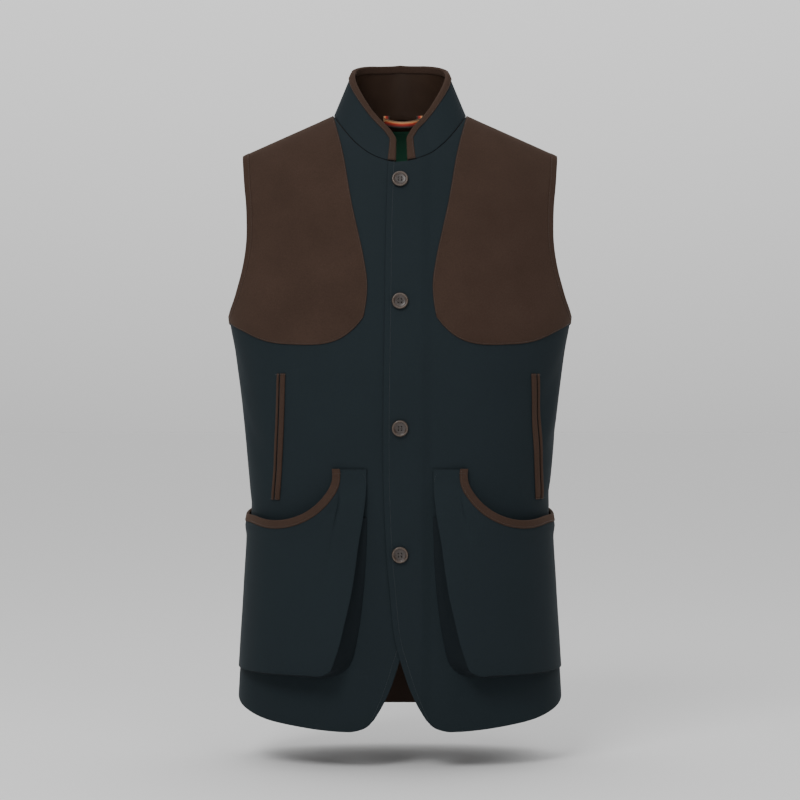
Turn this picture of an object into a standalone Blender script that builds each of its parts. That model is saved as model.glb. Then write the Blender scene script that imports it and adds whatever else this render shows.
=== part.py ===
"""A sleeveless field gilet with a stand collar, filled out as if worn. Units are metres.

+Z is up, +Y points to the wearer's back and +X to the wearer's left. The origin lies midway
between the two points where the shoulder seams meet the neck.

Every cloth piece is a grid of places on one body form. A place is (girth, z): girth runs from 0
at the centre front through 1 at the side to 2 at the centre back. Points are moved out or in
from the form to give each layer its wall.
"""

import math

import bmesh
import bpy
import numpy as np
from mathutils import Matrix, Vector

# Walls and gaps
FRONT_WALL = 0.0016
BACK_WALL = 0.0015
LINING_WALL = 0.0010
LINING_COLUMNS = (0, 3, 5, 7, 8, 9, 10, 11, 12, 13)
PATCH_WALL = 0.0011
COLLAR_WALL = 0.0014
FACING_WALL = 0.0012
BINDING_WALL = 0.0011
POCKET_WALL = 0.0015
GUSSET_WALL = 0.0010
LABEL_WALL = 0.0010
LOOP_WALL = 0.0010
GAP = 0.0003
LOOSE_GAP = 0.0006

# Neck and shoulders
NECK_HALF_WIDTH = 0.085
NECK_FRONT_DEPTH = 0.0718
NECK_BACK_DEPTH = 0.065
SHOULDER_SLOPE = 0.45
RIDGE_ROUNDING = 0.02
SHOULDER_TIP_X = 0.2003
UNDERARM_Z = -0.2577

# Shape of the body sections: how square they are, and how the shoulders round over
FRONT_SQUARENESS = 2.4
BACK_SQUARENESS = 2.3
FRONT_FULL_Z = -0.33
BACK_FULL_Z = -0.26
FRONT_ROUNDING = 1.25
BACK_ROUNDING = 4.5

# A row for each body section: height, half width, front depth and back depth
SECTIONS = (
    (-0.780, 0.2085, 0.1220, 0.1160),
    (-0.700, 0.2042, 0.1205, 0.1120),
    (-0.600, 0.1960, 0.1190, 0.1050),
    (-0.510, 0.1903, 0.1190, 0.1000),
    (-0.430, 0.1957, 0.1220, 0.1050),
    (-0.360, 0.2028, 0.1255, 0.1120),
    (-0.300, 0.2110, 0.1275, 0.1170),
    (-0.258, 0.2182, 0.1280, 0.1180),
    (-0.200, 0.2190, 0.1280, 0.1180),
    (0.060, 0.2190, 0.1280, 0.1180),
)

# The front edge, a row for each turn of it: height and distance past the centre
LAP = 0.0187
FRONT_EDGE = (
    (-0.7570, 0.0322),
    (-0.7495, 0.0255),
    (-0.7347, 0.0180),
    (-0.7000, 0.0066),
    (-0.6867, 0.0006),
    (-0.6580, -0.0068),
    (-0.6090, -0.0120),
    (-0.5600, -0.0165),
    (-0.5200, -LAP),
    (-0.2400, -LAP),
    (-0.1360, -0.0172),
    (-0.0637, -0.0148),
)

# The line of the pocket's gusset and of the patch's inner edge: height and distance from centre
POCKET_LINE = (
    (-0.6830, 0.0590),
    (-0.6580, 0.0532),
    (-0.6300, 0.0487),
    (-0.5845, 0.0440),
    (-0.5450, 0.0417),
    (-0.5000, 0.0407),
    (-0.4470, 0.0407),
)
MIDDLE_LINE = (
    (-0.4470, 0.0407),
    (-0.3500, 0.0412),
    (-0.2605, 0.0450),
)
PATCH_LINE = (
    (-0.2605, 0.0450),
    (-0.2400, 0.0402),
    (-0.2120, 0.0408),
    (-0.1630, 0.0500),
    (-0.1150, 0.0605),
    (-0.0500, 0.0720),
    (0.0000, 0.0850),
)

# The armholes: height and distance from centre, from above the underarm up to the shoulder
FRONT_ARMHOLE = (
    (-0.2490, 0.2140),
    (-0.2300, 0.2066),
    (-0.2110, 0.2010),
    (-0.1930, 0.1966),
    (-0.1740, 0.1936),
    (-0.1550, 0.1924),
    (-0.1360, 0.1927),
    (-0.1170, 0.1937),
    (-0.0960, 0.1961),
    (-0.0765, 0.1979),
)
BACK_ARMHOLE = (
    (-0.2480, 0.2145),
    (-0.2300, 0.2090),
    (-0.2050, 0.2030),
    (-0.1700, 0.1985),
    (-0.1300, 0.1975),
    (-0.0900, 0.1985),
)

# Lines that cross the fronts: distance from centre and height, out to the side seam
SIDE = 1.0
BACK_SIDE = 1.0 + 1e-7
HEM_CORNER = (0.0322, -0.7570)
FRONT_HEM = (
    (0.0400, -0.7650),
    (0.0520, -0.7703),
    (0.0670, -0.7722),
    (0.0830, -0.7714),
    (0.1040, -0.7698),
    (0.1210, -0.7678),
    (0.1456, -0.7644),
    (0.1645, -0.7612),
    (0.1775, -0.7577),
    (0.1935, -0.7512),
    (SIDE, -0.7355),
)
POCKET_BOTTOM = (
    (0.0590, -0.6830),
    (0.0710, -0.6990),
    (0.0900, -0.7045),
    (0.1400, -0.7045),
    (SIDE, -0.7045),
)
POCKET_BOTTOM_AT_EDGE = -0.690
POCKET_TOP_Z = -0.447
PATCH_BOTTOM = (
    (0.0450, -0.2605),
    (0.0575, -0.2755),
    (0.0760, -0.2885),
    (0.0960, -0.2940),
    (0.1300, -0.2942),
    (0.1690, -0.2890),
    (0.1980, -0.2755),
    (SIDE, UNDERARM_Z),
)
# Lines that cross the back: girth and height
BACK_HEM = (
    (1.00, -0.7355),
    (1.15, -0.7490),
    (1.40, -0.7600),
    (1.70, -0.7645),
    (2.00, -0.7648),
)
BACK_CROSS = (
    (1.00, UNDERARM_Z),
    (1.12, -0.2740),
    (1.35, -0.2850),
    (2.00, -0.2850),
)

# How many cells the panels have
STRIP_COLUMNS = 8
WIDE_COLUMNS = 13
BACK_COLUMNS = 13
BACK_NECK_COLUMNS = 6
ROWS_BELOW_POCKET = 2
ROWS_OF_POCKET = 8
ROWS_ABOVE_POCKET = 5
ROWS_OF_SHOULDER = 10
TOP_CROWDING = 1.3

# Width of a binding's leg
BINDING_WIDTH = 0.009

# The left front rides over the right one by this much where they lap
LAP_RISE = 0.0023
LAP_RISE_FULL_X = 0.024
LAP_RISE_END_X = 0.040
LAP_NECK_DROPS = (0.0024, 0.0012)

# Bellows pockets
POCKET_REAR_COLUMNS = 2
POCKET_TAB_COLUMNS = 2
POCKET_INNER_EDGE = (
    (-0.6945, 0.0800),
    (-0.6812, 0.0745),
    (-0.6507, 0.0680),
    (-0.6229, 0.0615),
    (-0.5865, 0.0550),
    (-0.5454, 0.0503),
    (-0.5100, 0.0448),
    (-0.4660, 0.0407),
    (-0.4475, 0.0407),
)
POCKET_FACE_BOTTOM = (
    (0.0800, -0.6945),
    (0.0880, -0.7003),
    (0.1000, -0.7010),
    (0.1500, -0.7008),
    (SIDE, -0.7005),
)
POCKET_MOUTH = (
    (0.0820, -0.4475),
    (0.0826, -0.4651),
    (0.0930, -0.4854),
    (0.1064, -0.4989),
    (0.1247, -0.5087),
    (0.1500, -0.5131),
    (0.1780, -0.5093),
    (SIDE, -0.5070),
)
POCKET_REAR_TOP_Z = -0.500
POCKET_TAB_LINE = (
    (-0.7010, 0.1040),
    (-0.6000, 0.0900),
    (-0.5200, 0.0790),
    (-0.4700, 0.0735),
    (-0.4475, 0.0820),
)
POCKET_DEPTH = 0.026
POCKET_SWELL_END = 0.78
POCKET_SWELL_POWER = 1.5
POCKET_DEPTH_TOP_Z = -0.466
POCKET_DEPTH_DROP = 0.215
POCKET_DEPTH_POWER = 0.8
POCKET_GAPE = 0.0085
POCKET_GAPE_DROP = 0.18
POCKET_GAPE_POWER = 0.8
POCKET_PULL = 0.75
POCKET_PULL_START = 0.50
POCKET_PULL_EASE = 0.2
POCKET_PULL_DROP = 0.016
POCKET_BINDING_ROOM = 0.0022
POCKET_SEWN_Z = -0.455
GUSSET_LEAST_DEPTH = 0.0042
GUSSET_SAG = 0.0025
GUSSET_HEM = 0.0015
GUSSET_SHARES = (0.33, 0.67)

# Jetted hand pockets: the slit's top and bottom, as distance from centre and height, and its bow
JET_LINES = {
    "left": ((0.1698, -0.3300), (0.1765, -0.4873), 0.0003),
    "right": ((0.1487, -0.3300), (0.1563, -0.4873), 0.0012),
}
JET_WALL = 0.0018
JET_OUTER_WIDTH = 0.0028
JET_INNER_WIDTH = 0.0062
JET_SLIT = 0.0014
JET_STATIONS = 7

# Collar. Its ends' columns are numbered along the panels' neck edges, whose corners are 1, 2, 3
COLLAR_LEFT_END_X = 0.0107
COLLAR_RIGHT_END_X = 0.0066
COLLAR_LEFT_END_COLUMNS = (0.0, 0.85, 1.0, 1.5, 2.0)
COLLAR_RIGHT_END_COLUMNS = (0.0, 0.63, 1.0, 1.5, 2.0)
# The rounded end of the collar: distance from the end and height, on its edge and in by a binding
COLLAR_END_EDGE = (
    (0.0008, 0.0325),
    (0.0045, 0.0385),
    (0.0110, 0.0448),
    (0.0220, 0.0499),
    (0.0360, 0.0534),
)
COLLAR_END_INSET = (
    (0.0000, 0.0255),
    (0.0085, 0.0305),
    (0.0166, 0.0386),
    (0.0258, 0.0426),
    (0.0379, 0.0453),
)
COLLAR_END_MIDDLE = ((0.0, 0.0130), (0.0085, 0.0145))
COLLAR_HEIGHTS = (
    (0.0360, 0.0534),
    (0.0600, 0.0560),
    (0.1150, 0.0572),
    (0.1450, 0.0618),
    (0.1650, 0.0654),
    (0.1850, 0.0684),
    (0.2050, 0.0690),
    (0.2300, 0.0664),
    (0.2520, 0.0648),
)
COLLAR_BINDING_WIDTH = 0.0083
# Share of the way round from front to back, and how far the collar leans in there, in degrees
COLLAR_LEANS = (
    (0.00, 27.0),
    (0.12, 26.0),
    (0.26, 22.8),
    (0.50, 22.5),
    (0.75, 16.0),
    (1.00, 13.0),
)
COLLAR_SEAM_GAP = 0.0006

# Buttons
BUTTON_HEIGHTS = (-0.0885, -0.2415, -0.3975, -0.5535)
BUTTON_RADIUS = 0.0102
BUTTON_THICKNESS = 0.0034
BUTTON_SIDES = 20
HOLE_RADIUS = 0.0010
HOLE_SPACING = 0.0019
HOLE_SIDES = 6

# Label and hanger loop, at the centre back of the neck
LABEL_ROWS_Z = (-0.058, -0.034, -0.010)
LABEL_HALF_WIDTH = 0.034
LOOP_CENTRE_X = 0.004
LOOP_HALF_LENGTH = 0.026
LOOP_LOW_Z = -0.0072
LOOP_HIGH_Z = 0.0014
LOOP_END_RISE = 0.0046
LOOP_END_STAND = 0.0006
LOOP_TOP_STAND = 0.0085
LOOP_BOTTOM_STAND = 0.0158
LOOP_STATIONS = 12


def smooth_curve(knots, values):
    """A function that passes smoothly through the values at the rising knots."""
    knots = np.asarray(knots, float)
    values = np.asarray(values, float)
    steps = np.diff(knots)
    slopes = np.diff(values) / steps
    tangents = np.empty_like(values)
    tangents[0] = slopes[0]
    tangents[-1] = slopes[-1]
    inner = (slopes[:-1] * steps[1:] + slopes[1:] * steps[:-1]) / (steps[:-1] + steps[1:])
    tangents[1:-1] = np.where(slopes[:-1] * slopes[1:] < 0, 0.0, inner)

    def curve(at):
        at = np.clip(np.asarray(at, float), knots[0], knots[-1])
        index = np.clip(np.searchsorted(knots, at) - 1, 0, len(knots) - 2)
        width = steps[index]
        t = (at - knots[index]) / width
        before = values[index]
        after = values[index + 1]
        rise = tangents[index] * width
        fall = tangents[index + 1] * width
        return (
            (2 * t**3 - 3 * t**2 + 1) * before
            + (t**3 - 2 * t**2 + t) * rise
            + (3 * t**2 - 2 * t**3) * after
            + (t**3 - t**2) * fall
        )

    return curve


def smooth_step(value):
    value = np.clip(value, 0.0, 1.0)
    return value * value * (3 - 2 * value)


half_width = smooth_curve([row[0] for row in SECTIONS], [row[1] for row in SECTIONS])
front_depth = smooth_curve([row[0] for row in SECTIONS], [row[2] for row in SECTIONS])
back_depth = smooth_curve([row[0] for row in SECTIONS], [row[3] for row in SECTIONS])


def quarter_table(squareness, width, depth):
    """Girth from 0 at the centre to 1 at the side, and the angle that gives it."""
    angle = np.linspace(0.0, math.pi / 2, 721)
    x = width * np.sin(angle)
    y = depth * np.clip(1 - np.sin(angle) ** squareness, 0, None) ** (1 / squareness)
    length = np.concatenate([[0.0], np.cumsum(np.hypot(np.diff(x), np.diff(y)))])
    return length / length[-1], angle


FRONT_GIRTH, FRONT_ANGLE = quarter_table(FRONT_SQUARENESS, 0.205, 0.123)
BACK_GIRTH, BACK_ANGLE = quarter_table(BACK_SQUARENESS, 0.205, 0.113)


def ridge(x):
    """Height of the shoulder line, rounded where its two slopes would meet."""
    rounded = np.sqrt(np.square(x) + RIDGE_ROUNDING**2)
    return SHOULDER_SLOPE * (math.hypot(NECK_HALF_WIDTH, RIDGE_ROUNDING) - rounded)


def fullness(x, z, back):
    """Share of the full depth that the form has reached below the shoulder line."""
    full_z = np.where(back, BACK_FULL_Z, FRONT_FULL_Z)
    rounding = np.where(back, BACK_ROUNDING, FRONT_ROUNDING)
    t = np.clip((ridge(x) - z) / (ridge(x) - full_z), 0.0, 1.0)
    return np.sqrt(np.clip(1 - (1 - t) ** rounding, 0.0, 1.0))


def form(places):
    """Points of the body form on the wearer's left, for places (girth, z)."""
    places = np.asarray(places, float)
    girth = places[..., 0]
    z = places[..., 1]
    back = girth > 1.0
    front_angle = np.sign(girth) * np.interp(np.abs(girth), FRONT_GIRTH, FRONT_ANGLE)
    back_angle = np.interp(2 - girth, BACK_GIRTH, BACK_ANGLE)
    sine = np.sin(np.where(back, back_angle, front_angle))
    squareness = np.where(back, BACK_SQUARENESS, FRONT_SQUARENESS)
    depth = np.where(back, back_depth(z), -front_depth(z))
    x = half_width(z) * sine
    narrowing = np.clip(1 - np.abs(sine) ** squareness, 0.0, 1.0) ** (1 / squareness)
    y = depth * narrowing * fullness(x, z, back)
    return np.stack([x, y, z], axis=-1)


def outside(point, back):
    """Zero on the body form and positive outside it."""
    x, y, z = point[..., 0], point[..., 1], point[..., 2]
    squareness = np.where(back, BACK_SQUARENESS, FRONT_SQUARENESS)
    depth = np.where(back, back_depth(z), front_depth(z))
    within = 1 - np.abs(x / half_width(z)) ** squareness
    return np.abs(y / depth) ** squareness - within * fullness(x, z, back) ** squareness


def outward(places):
    """Unit normals of the form. On a seam they lie in the seam's own plane."""
    places = np.asarray(places, float)
    girth = places[..., 0]
    point = form(places)
    back = girth > 1.0
    nudge = 1e-5
    slope = np.empty_like(point)
    for axis in range(3):
        step = np.zeros(3)
        step[axis] = nudge
        slope[..., axis] = outside(point + step, back) - outside(point - step, back)
    on_ridge = ridge(point[..., 0]) - point[..., 2] < 1e-4
    on_side = np.abs(girth - 1.0) < 1e-6
    x = point[..., 0]
    ridge_slope = SHOULDER_SLOPE * x / np.sqrt(x * x + RIDGE_ROUNDING**2)
    ridge_normal = np.stack([ridge_slope, 0 * x, 1 + 0 * x], axis=-1)
    z = point[..., 2]
    widening = (half_width(z + nudge) - half_width(z - nudge)) / (2 * nudge)
    side_normal = np.stack([1 + 0 * x, 0 * x, -widening], axis=-1)
    normal = np.where(on_ridge[..., None], ridge_normal, slope)
    normal = np.where((on_side & ~on_ridge)[..., None], side_normal, normal)
    return normal / np.linalg.norm(normal, axis=-1, keepdims=True)


def lifted(places, offset=0.0):
    """Points of the form moved out by the offset, with each seam's half gap kept."""
    places = np.asarray(places, float)
    point = form(places) + outward(places) * np.asarray(offset)[..., None]
    back = places[..., 0] > 1.0
    half_gap = GAP / 2
    y = point[..., 1]
    point[..., 1] = np.where(back, np.maximum(y, half_gap), np.minimum(y, -half_gap))
    return point


def girth_at(x, z, back=False):
    """The girth of a point at this distance from the centre; past the side it is 1."""
    ratio = np.clip(np.asarray(x, float) / half_width(z), -1.0, 1.0)
    angle = np.arcsin(ratio)
    if back:
        return 2 - np.interp(angle, BACK_ANGLE, BACK_GIRTH)
    return np.sign(ratio) * np.interp(np.abs(angle), FRONT_ANGLE, FRONT_GIRTH)


def upright(rows, low, high, back=False, count=200):
    """Dense places along a line given as (height, distance from centre) rows."""
    curve = smooth_curve([row[0] for row in rows], [row[1] for row in rows])
    z = np.linspace(low, high, count)
    return np.stack([girth_at(curve(z), z, back), z], axis=-1)


def across(rows, start, stop=1.0, count=200):
    """Dense places along a line given as (distance from centre, height) rows."""
    girth = [float(girth_at(x, z)) for x, z in rows]
    curve = smooth_curve(girth, [row[1] for row in rows])
    at = np.linspace(start, stop, count)
    return np.stack([at, curve(at)], axis=-1)


def straight(start, stop, count=200):
    start = np.asarray(start, float)
    stop = np.asarray(stop, float)
    return start + (stop - start) * np.linspace(0, 1, count)[:, None]


def spaced(dense, cells, crowding=1.0, last=None):
    """Even places along a dense line by real length, crowded to its end or with a short last cell."""
    point = form(dense)
    length = np.concatenate([[0.0], np.cumsum(np.linalg.norm(np.diff(point, axis=0), axis=1))])
    share = 1 - (1 - np.linspace(0, 1, cells + 1)) ** crowding
    wanted = share * length[-1]
    if last is not None:
        wanted[:-1] = np.linspace(0, length[-1] - last, cells)
    return np.stack([np.interp(wanted, length, dense[:, k]) for k in range(2)], axis=-1)


def coons(bottom, top, left, right):
    """Places that fill the patch between four edges, as rows from bottom to top."""
    u = np.linspace(0, 1, len(bottom))[None, :, None]
    v = np.linspace(0, 1, len(left))[:, None, None]
    rising = (1 - v) * bottom[None] + v * top[None]
    crossing = (1 - u) * left[:, None] + u * right[:, None]
    corners = (1 - v) * ((1 - u) * bottom[0] + u * bottom[-1]) + v * ((1 - u) * top[0] + u * top[-1])
    return rising + crossing - corners


def inset_column(grid, edge_column, column, beyond_column, edge_line, first_row):
    """Move a column of places to where it lies a binding's width from the whole armhole edge."""
    edge = form(edge_line)
    for row in range(first_row, len(grid)):
        dense = np.linspace(grid[row, edge_column], grid[row, beyond_column], 80)
        away = np.linalg.norm(form(dense)[:, None] - edge[None], axis=2).min(axis=1)
        share = np.interp(BINDING_WIDTH, away, np.linspace(0, 1, 80))
        start = grid[row, edge_column]
        grid[row, column] = start + (grid[row, beyond_column] - start) * share


def front_places():
    """The left front's grid of places: rows from hem to shoulder, columns from edge to side."""
    neck_angle = np.linspace(-math.asin(0.0148 / NECK_HALF_WIDTH), math.pi / 2, STRIP_COLUMNS + 1)
    neck = neck_places(neck_angle, back=False)
    neck[: len(LAP_NECK_DROPS), 1] -= LAP_NECK_DROPS
    top_of_edge = neck[0, 1]
    line_foot = (float(girth_at(0.0590, -0.6830)), -0.6830)
    line_head = (float(girth_at(0.0450, -0.2605)), -0.2605)
    levels = (POCKET_BOTTOM_AT_EDGE, POCKET_TOP_Z, -0.2605, top_of_edge)
    edge = [
        spaced(upright(FRONT_EDGE, HEM_CORNER[1], levels[0]), ROWS_BELOW_POCKET),
        spaced(upright(FRONT_EDGE, levels[0], levels[1]), ROWS_OF_POCKET),
        spaced(upright(FRONT_EDGE, levels[1], levels[2]), ROWS_ABOVE_POCKET),
        spaced(upright(FRONT_EDGE, levels[2], levels[3]), ROWS_OF_SHOULDER, TOP_CROWDING),
    ]
    hem_rows = (HEM_CORNER,) + FRONT_HEM
    hem_line_at = float(girth_at(0.0620, -0.7716))
    hem_start = float(girth_at(*HEM_CORNER))
    hem_low = across(hem_rows, hem_start, hem_line_at)
    hem_high = across(hem_rows, hem_line_at)
    line = [
        spaced(straight(hem_high[0], line_foot), ROWS_BELOW_POCKET),
        spaced(upright(POCKET_LINE, POCKET_LINE[0][0], POCKET_TOP_Z), ROWS_OF_POCKET),
        spaced(upright(MIDDLE_LINE, POCKET_TOP_Z, -0.2605), ROWS_ABOVE_POCKET),
        spaced(upright(PATCH_LINE, -0.2605, 0.0), ROWS_OF_SHOULDER, TOP_CROWDING),
    ]
    armhole_line = armhole(FRONT_ARMHOLE, back=False)
    side = [
        spaced(straight((1.0, -0.7355), (1.0, -0.7045)), ROWS_BELOW_POCKET),
        spaced(straight((1.0, -0.7045), (1.0, POCKET_TOP_Z)), ROWS_OF_POCKET),
        spaced(straight((1.0, POCKET_TOP_Z), (1.0, UNDERARM_Z)), ROWS_ABOVE_POCKET),
        spaced(armhole_line, ROWS_OF_SHOULDER),
    ]
    narrow_levels = [
        spaced(hem_low, STRIP_COLUMNS),
        spaced(straight(edge[1][0], line[1][0]), STRIP_COLUMNS),
        spaced(straight(edge[2][0], line[2][0]), STRIP_COLUMNS),
        spaced(straight(edge[3][0], line_head), STRIP_COLUMNS),
        neck,
    ]
    wide_levels = [
        spaced(hem_high, WIDE_COLUMNS),
        spaced(across(POCKET_BOTTOM, line_foot[0]), WIDE_COLUMNS),
        spaced(straight(line[2][0], (1.0, POCKET_TOP_Z)), WIDE_COLUMNS),
        spaced(across(PATCH_BOTTOM, line_head[0]), WIDE_COLUMNS, last=BINDING_WIDTH),
        spaced(shoulder_places(), WIDE_COLUMNS, last=BINDING_WIDTH),
    ]
    bands = []
    for index in range(4):
        narrow = coons(narrow_levels[index], narrow_levels[index + 1], edge[index], line[index])
        wide = coons(wide_levels[index], wide_levels[index + 1], line[index], side[index])
        band = np.concatenate([narrow, wide[:, 1:]], axis=1)
        bands.append(band if index == 0 else band[1:])
    grid = np.concatenate(bands)
    last = STRIP_COLUMNS + WIDE_COLUMNS
    inset_column(grid, last, last - 1, last - 2, armhole_line, SHOULDER_ROW)
    return grid


SHOULDER_ROW = ROWS_BELOW_POCKET + ROWS_OF_POCKET + ROWS_ABOVE_POCKET
POCKET_ROW = ROWS_BELOW_POCKET


def neck_places(angle, back):
    """Places on the neckline, an ellipse in plan, at these angles from the centre."""
    x = NECK_HALF_WIDTH * np.sin(angle)
    plan_depth = NECK_BACK_DEPTH if back else NECK_FRONT_DEPTH
    full_depth = back_depth(0.0) if back else front_depth(0.0)
    squareness = BACK_SQUARENESS if back else FRONT_SQUARENESS
    rounding = BACK_ROUNDING if back else FRONT_ROUNDING
    full_z = BACK_FULL_Z if back else FRONT_FULL_Z
    narrowing = (1 - np.abs(x / half_width(0.0)) ** squareness) ** (1 / squareness)
    share = plan_depth * np.cos(angle) / (full_depth * narrowing)
    t = 1 - (1 - share**2) ** (1 / rounding)
    z = ridge(x) - t * (ridge(x) - full_z)
    return np.stack([girth_at(x, z, back), z], axis=-1)


def shoulder_places(back=False):
    """Dense places along the shoulder line, from the neck to the tip."""
    x = np.linspace(NECK_HALF_WIDTH, SHOULDER_TIP_X, 200)
    return np.stack([girth_at(x, ridge(x), back), ridge(x)], axis=-1)


def armhole(rows, back):
    """Dense places up an armhole, from the underarm on the side seam to the shoulder tip."""
    rows = rows + ((float(ridge(SHOULDER_TIP_X)), SHOULDER_TIP_X),)
    z = [UNDERARM_Z] + [row[0] for row in rows]
    girth = [BACK_SIDE if back else SIDE] + [float(girth_at(row[1], row[0], back)) for row in rows]
    point = np.array([girth, z]).T
    steps = np.diff(point, axis=0)
    length = np.concatenate([[0.0], np.cumsum(np.hypot(steps[:, 0], steps[:, 1]))])
    at = np.linspace(0, length[-1], 300)
    return np.stack([smooth_curve(length, point[:, k])(at) for k in range(2)], axis=-1)


def back_places():
    """The left half of the back: rows from hem to shoulder, columns from side to centre."""
    half_side = BACK_COLUMNS - BACK_NECK_COLUMNS
    neck = neck_places(np.linspace(math.pi / 2, 0.0, BACK_NECK_COLUMNS + 1), back=True)
    shoulder = spaced(shoulder_places(back=True), half_side, last=BINDING_WIDTH)[::-1]
    cross = across_back(BACK_CROSS)
    levels = [
        spaced(across_back(BACK_HEM), BACK_COLUMNS),
        spaced(straight((BACK_SIDE, -0.7045), (2.0, -0.7045)), BACK_COLUMNS),
        spaced(straight((BACK_SIDE, POCKET_TOP_Z), (2.0, POCKET_TOP_Z)), BACK_COLUMNS),
        spaced(cross[::-1], BACK_COLUMNS, last=BINDING_WIDTH)[::-1],
        np.concatenate([shoulder, neck[1:]]),
    ]
    armhole_line = armhole(BACK_ARMHOLE, back=True)
    side = [
        spaced(straight((BACK_SIDE, -0.7355), (BACK_SIDE, -0.7045)), ROWS_BELOW_POCKET),
        spaced(straight((BACK_SIDE, -0.7045), (BACK_SIDE, POCKET_TOP_Z)), ROWS_OF_POCKET),
        spaced(straight((BACK_SIDE, POCKET_TOP_Z), (BACK_SIDE, UNDERARM_Z)), ROWS_ABOVE_POCKET),
        spaced(armhole_line, ROWS_OF_SHOULDER),
    ]
    centre = [
        spaced(straight((2.0, BACK_HEM[-1][1]), (2.0, -0.7045)), ROWS_BELOW_POCKET),
        spaced(straight((2.0, -0.7045), (2.0, POCKET_TOP_Z)), ROWS_OF_POCKET),
        spaced(straight((2.0, POCKET_TOP_Z), (2.0, BACK_CROSS[-1][1])), ROWS_ABOVE_POCKET),
        spaced(straight((2.0, BACK_CROSS[-1][1]), neck[-1]), ROWS_OF_SHOULDER, TOP_CROWDING),
    ]
    bands = []
    for index in range(4):
        band = coons(levels[index], levels[index + 1], side[index], centre[index])
        bands.append(band if index == 0 else band[1:])
    grid = np.concatenate(bands)
    inset_column(grid, 0, 1, 2, armhole_line, SHOULDER_ROW)
    return grid


def across_back(rows):
    curve = smooth_curve([row[0] for row in rows], [row[1] for row in rows])
    at = np.linspace(BACK_SIDE, 2.0, 200)
    return np.stack([at, curve(at)], axis=-1)


def clear_scene():
    for old in list(bpy.data.objects):
        bpy.data.objects.remove(old, do_unlink=True)


def material(name, colour, roughness, metallic=0.0):
    made = bpy.data.materials.new(name)
    made.use_nodes = True
    shader = made.node_tree.nodes["Principled BSDF"]
    shader.inputs["Base Color"].default_value = (*colour, 1.0)
    shader.inputs["Roughness"].default_value = roughness
    shader.inputs["Metallic"].default_value = metallic
    return made


def add_object(name, points, faces, finish):
    """One named mesh object, shaded smooth between its folds."""
    mesh = bpy.data.meshes.new(name)
    mesh.from_pydata([tuple(point) for point in points], [], faces)
    mesh.materials.append(finish)
    mesh.shade_smooth()
    mesh.set_sharp_from_angle(angle=math.radians(35))
    placed = bpy.data.objects.new(name, mesh)
    bpy.context.scene.collection.objects.link(placed)
    return placed


def mirrored(points):
    return points * np.array([-1.0, 1.0, 1.0])


def grid_faces(rows, columns, turned_from=None):
    """Two triangles for each cell, split along the same diagonal up to a column where it turns."""
    faces = []
    for row in range(rows - 1):
        for column in range(columns - 1):
            a = row * columns + column
            b = a + 1
            d = a + columns
            c = d + 1
            if turned_from is not None and column >= turned_from:
                faces += [(a, b, d), (b, c, d)]
            else:
                faces += [(a, b, c), (a, c, d)]
    return faces


def add_sheet(name, outer, inner, finish, mirror=False, halves=False):
    """A wall between an outer and an inner grid of points, closed round its rim.

    halves says that the grid holds two mirrored halves, so that their cells are mirrored as well.
    """
    rows, columns = outer.shape[:2]
    count = rows * columns
    points = np.concatenate([outer.reshape(-1, 3), inner.reshape(-1, 3)])
    one_side = grid_faces(rows, columns, columns // 2 if halves else None)
    faces = one_side + [tuple(index + count for index in reversed(face)) for face in one_side]
    rim = [column for column in range(columns)]
    rim += [row * columns + columns - 1 for row in range(1, rows)]
    rim += [(rows - 1) * columns + column for column in range(columns - 2, -1, -1)]
    rim += [row * columns for row in range(rows - 2, 0, -1)]
    for here, there in zip(rim, rim[1:] + rim[:1]):
        faces.append((there, here, here + count))
        faces.append((there, here + count, there + count))
    if mirror:
        points = mirrored(points)
        faces = [tuple(reversed(face)) for face in faces]
    return add_object(name, points, faces, finish)


def add_tube(name, stations, finish, ring=False, mirror=False, turned_sides=()):
    """A solid through stations that each hold the same section, as a ring or with two ends.

    Each side splits its cells along one diagonal, and turned_sides names those with the other.
    """
    stations = np.asarray(stations)
    count, sides = stations.shape[:2]
    faces = []
    for station in range(count if ring else count - 1):
        following = (station + 1) % count
        for side in range(sides):
            turned = (side + 1) % sides
            a = station * sides + side
            b = station * sides + turned
            c = following * sides + turned
            d = following * sides + side
            if side in turned_sides:
                faces.append((a, b, d))
                faces.append((b, c, d))
            else:
                faces.append((a, b, c))
                faces.append((a, c, d))
    if not ring:
        faces.append(tuple(reversed(range(sides))))
        faces.append(tuple((count - 1) * sides + side for side in range(sides)))
    points = stations.reshape(-1, 3)
    if mirror:
        points = mirrored(points)
    made = add_object(name, points, faces, finish)
    shape = bmesh.new()
    shape.from_mesh(made.data)
    bmesh.ops.recalc_face_normals(shape, faces=shape.faces)
    bmesh.ops.triangulate(shape, faces=[face for face in shape.faces if len(face.verts) > 4])
    shape.to_mesh(made.data)
    shape.free()
    made.data.set_sharp_from_angle(angle=math.radians(35))
    return made


def unit(vector):
    return vector / np.linalg.norm(vector)


def folded_section(outer, inner, normals, gap=GAP):
    """A folded strip's section round a cloth edge: a leg on each face and the fold past the edge.

    outer and inner hold the cloth's two faces, each as its edge point and its leg's end point.
    normals holds the outward direction at the edge and at the legs' ends.
    """
    wall = BINDING_WALL
    fold = unit(outer[0] + inner[0] - outer[1] - inner[1])
    at_edge, at_leg = normals
    return np.array(
        [
            outer[1] + at_leg * gap,
            outer[1] + at_leg * (gap + wall),
            outer[0] + at_edge * (gap + wall) + fold * (GAP + wall),
            inner[0] - at_edge * (gap + wall) + fold * (GAP + wall),
            inner[1] - at_leg * (gap + wall),
            inner[1] - at_leg * gap,
            inner[0] - at_edge * gap + fold * GAP,
            outer[0] + at_edge * gap + fold * GAP,
        ]
    )


# The sides of a folded section whose diagonals turn, so that each lies flat on the cloth's own
FOLDED_TURNS = (3, 7)


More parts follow.
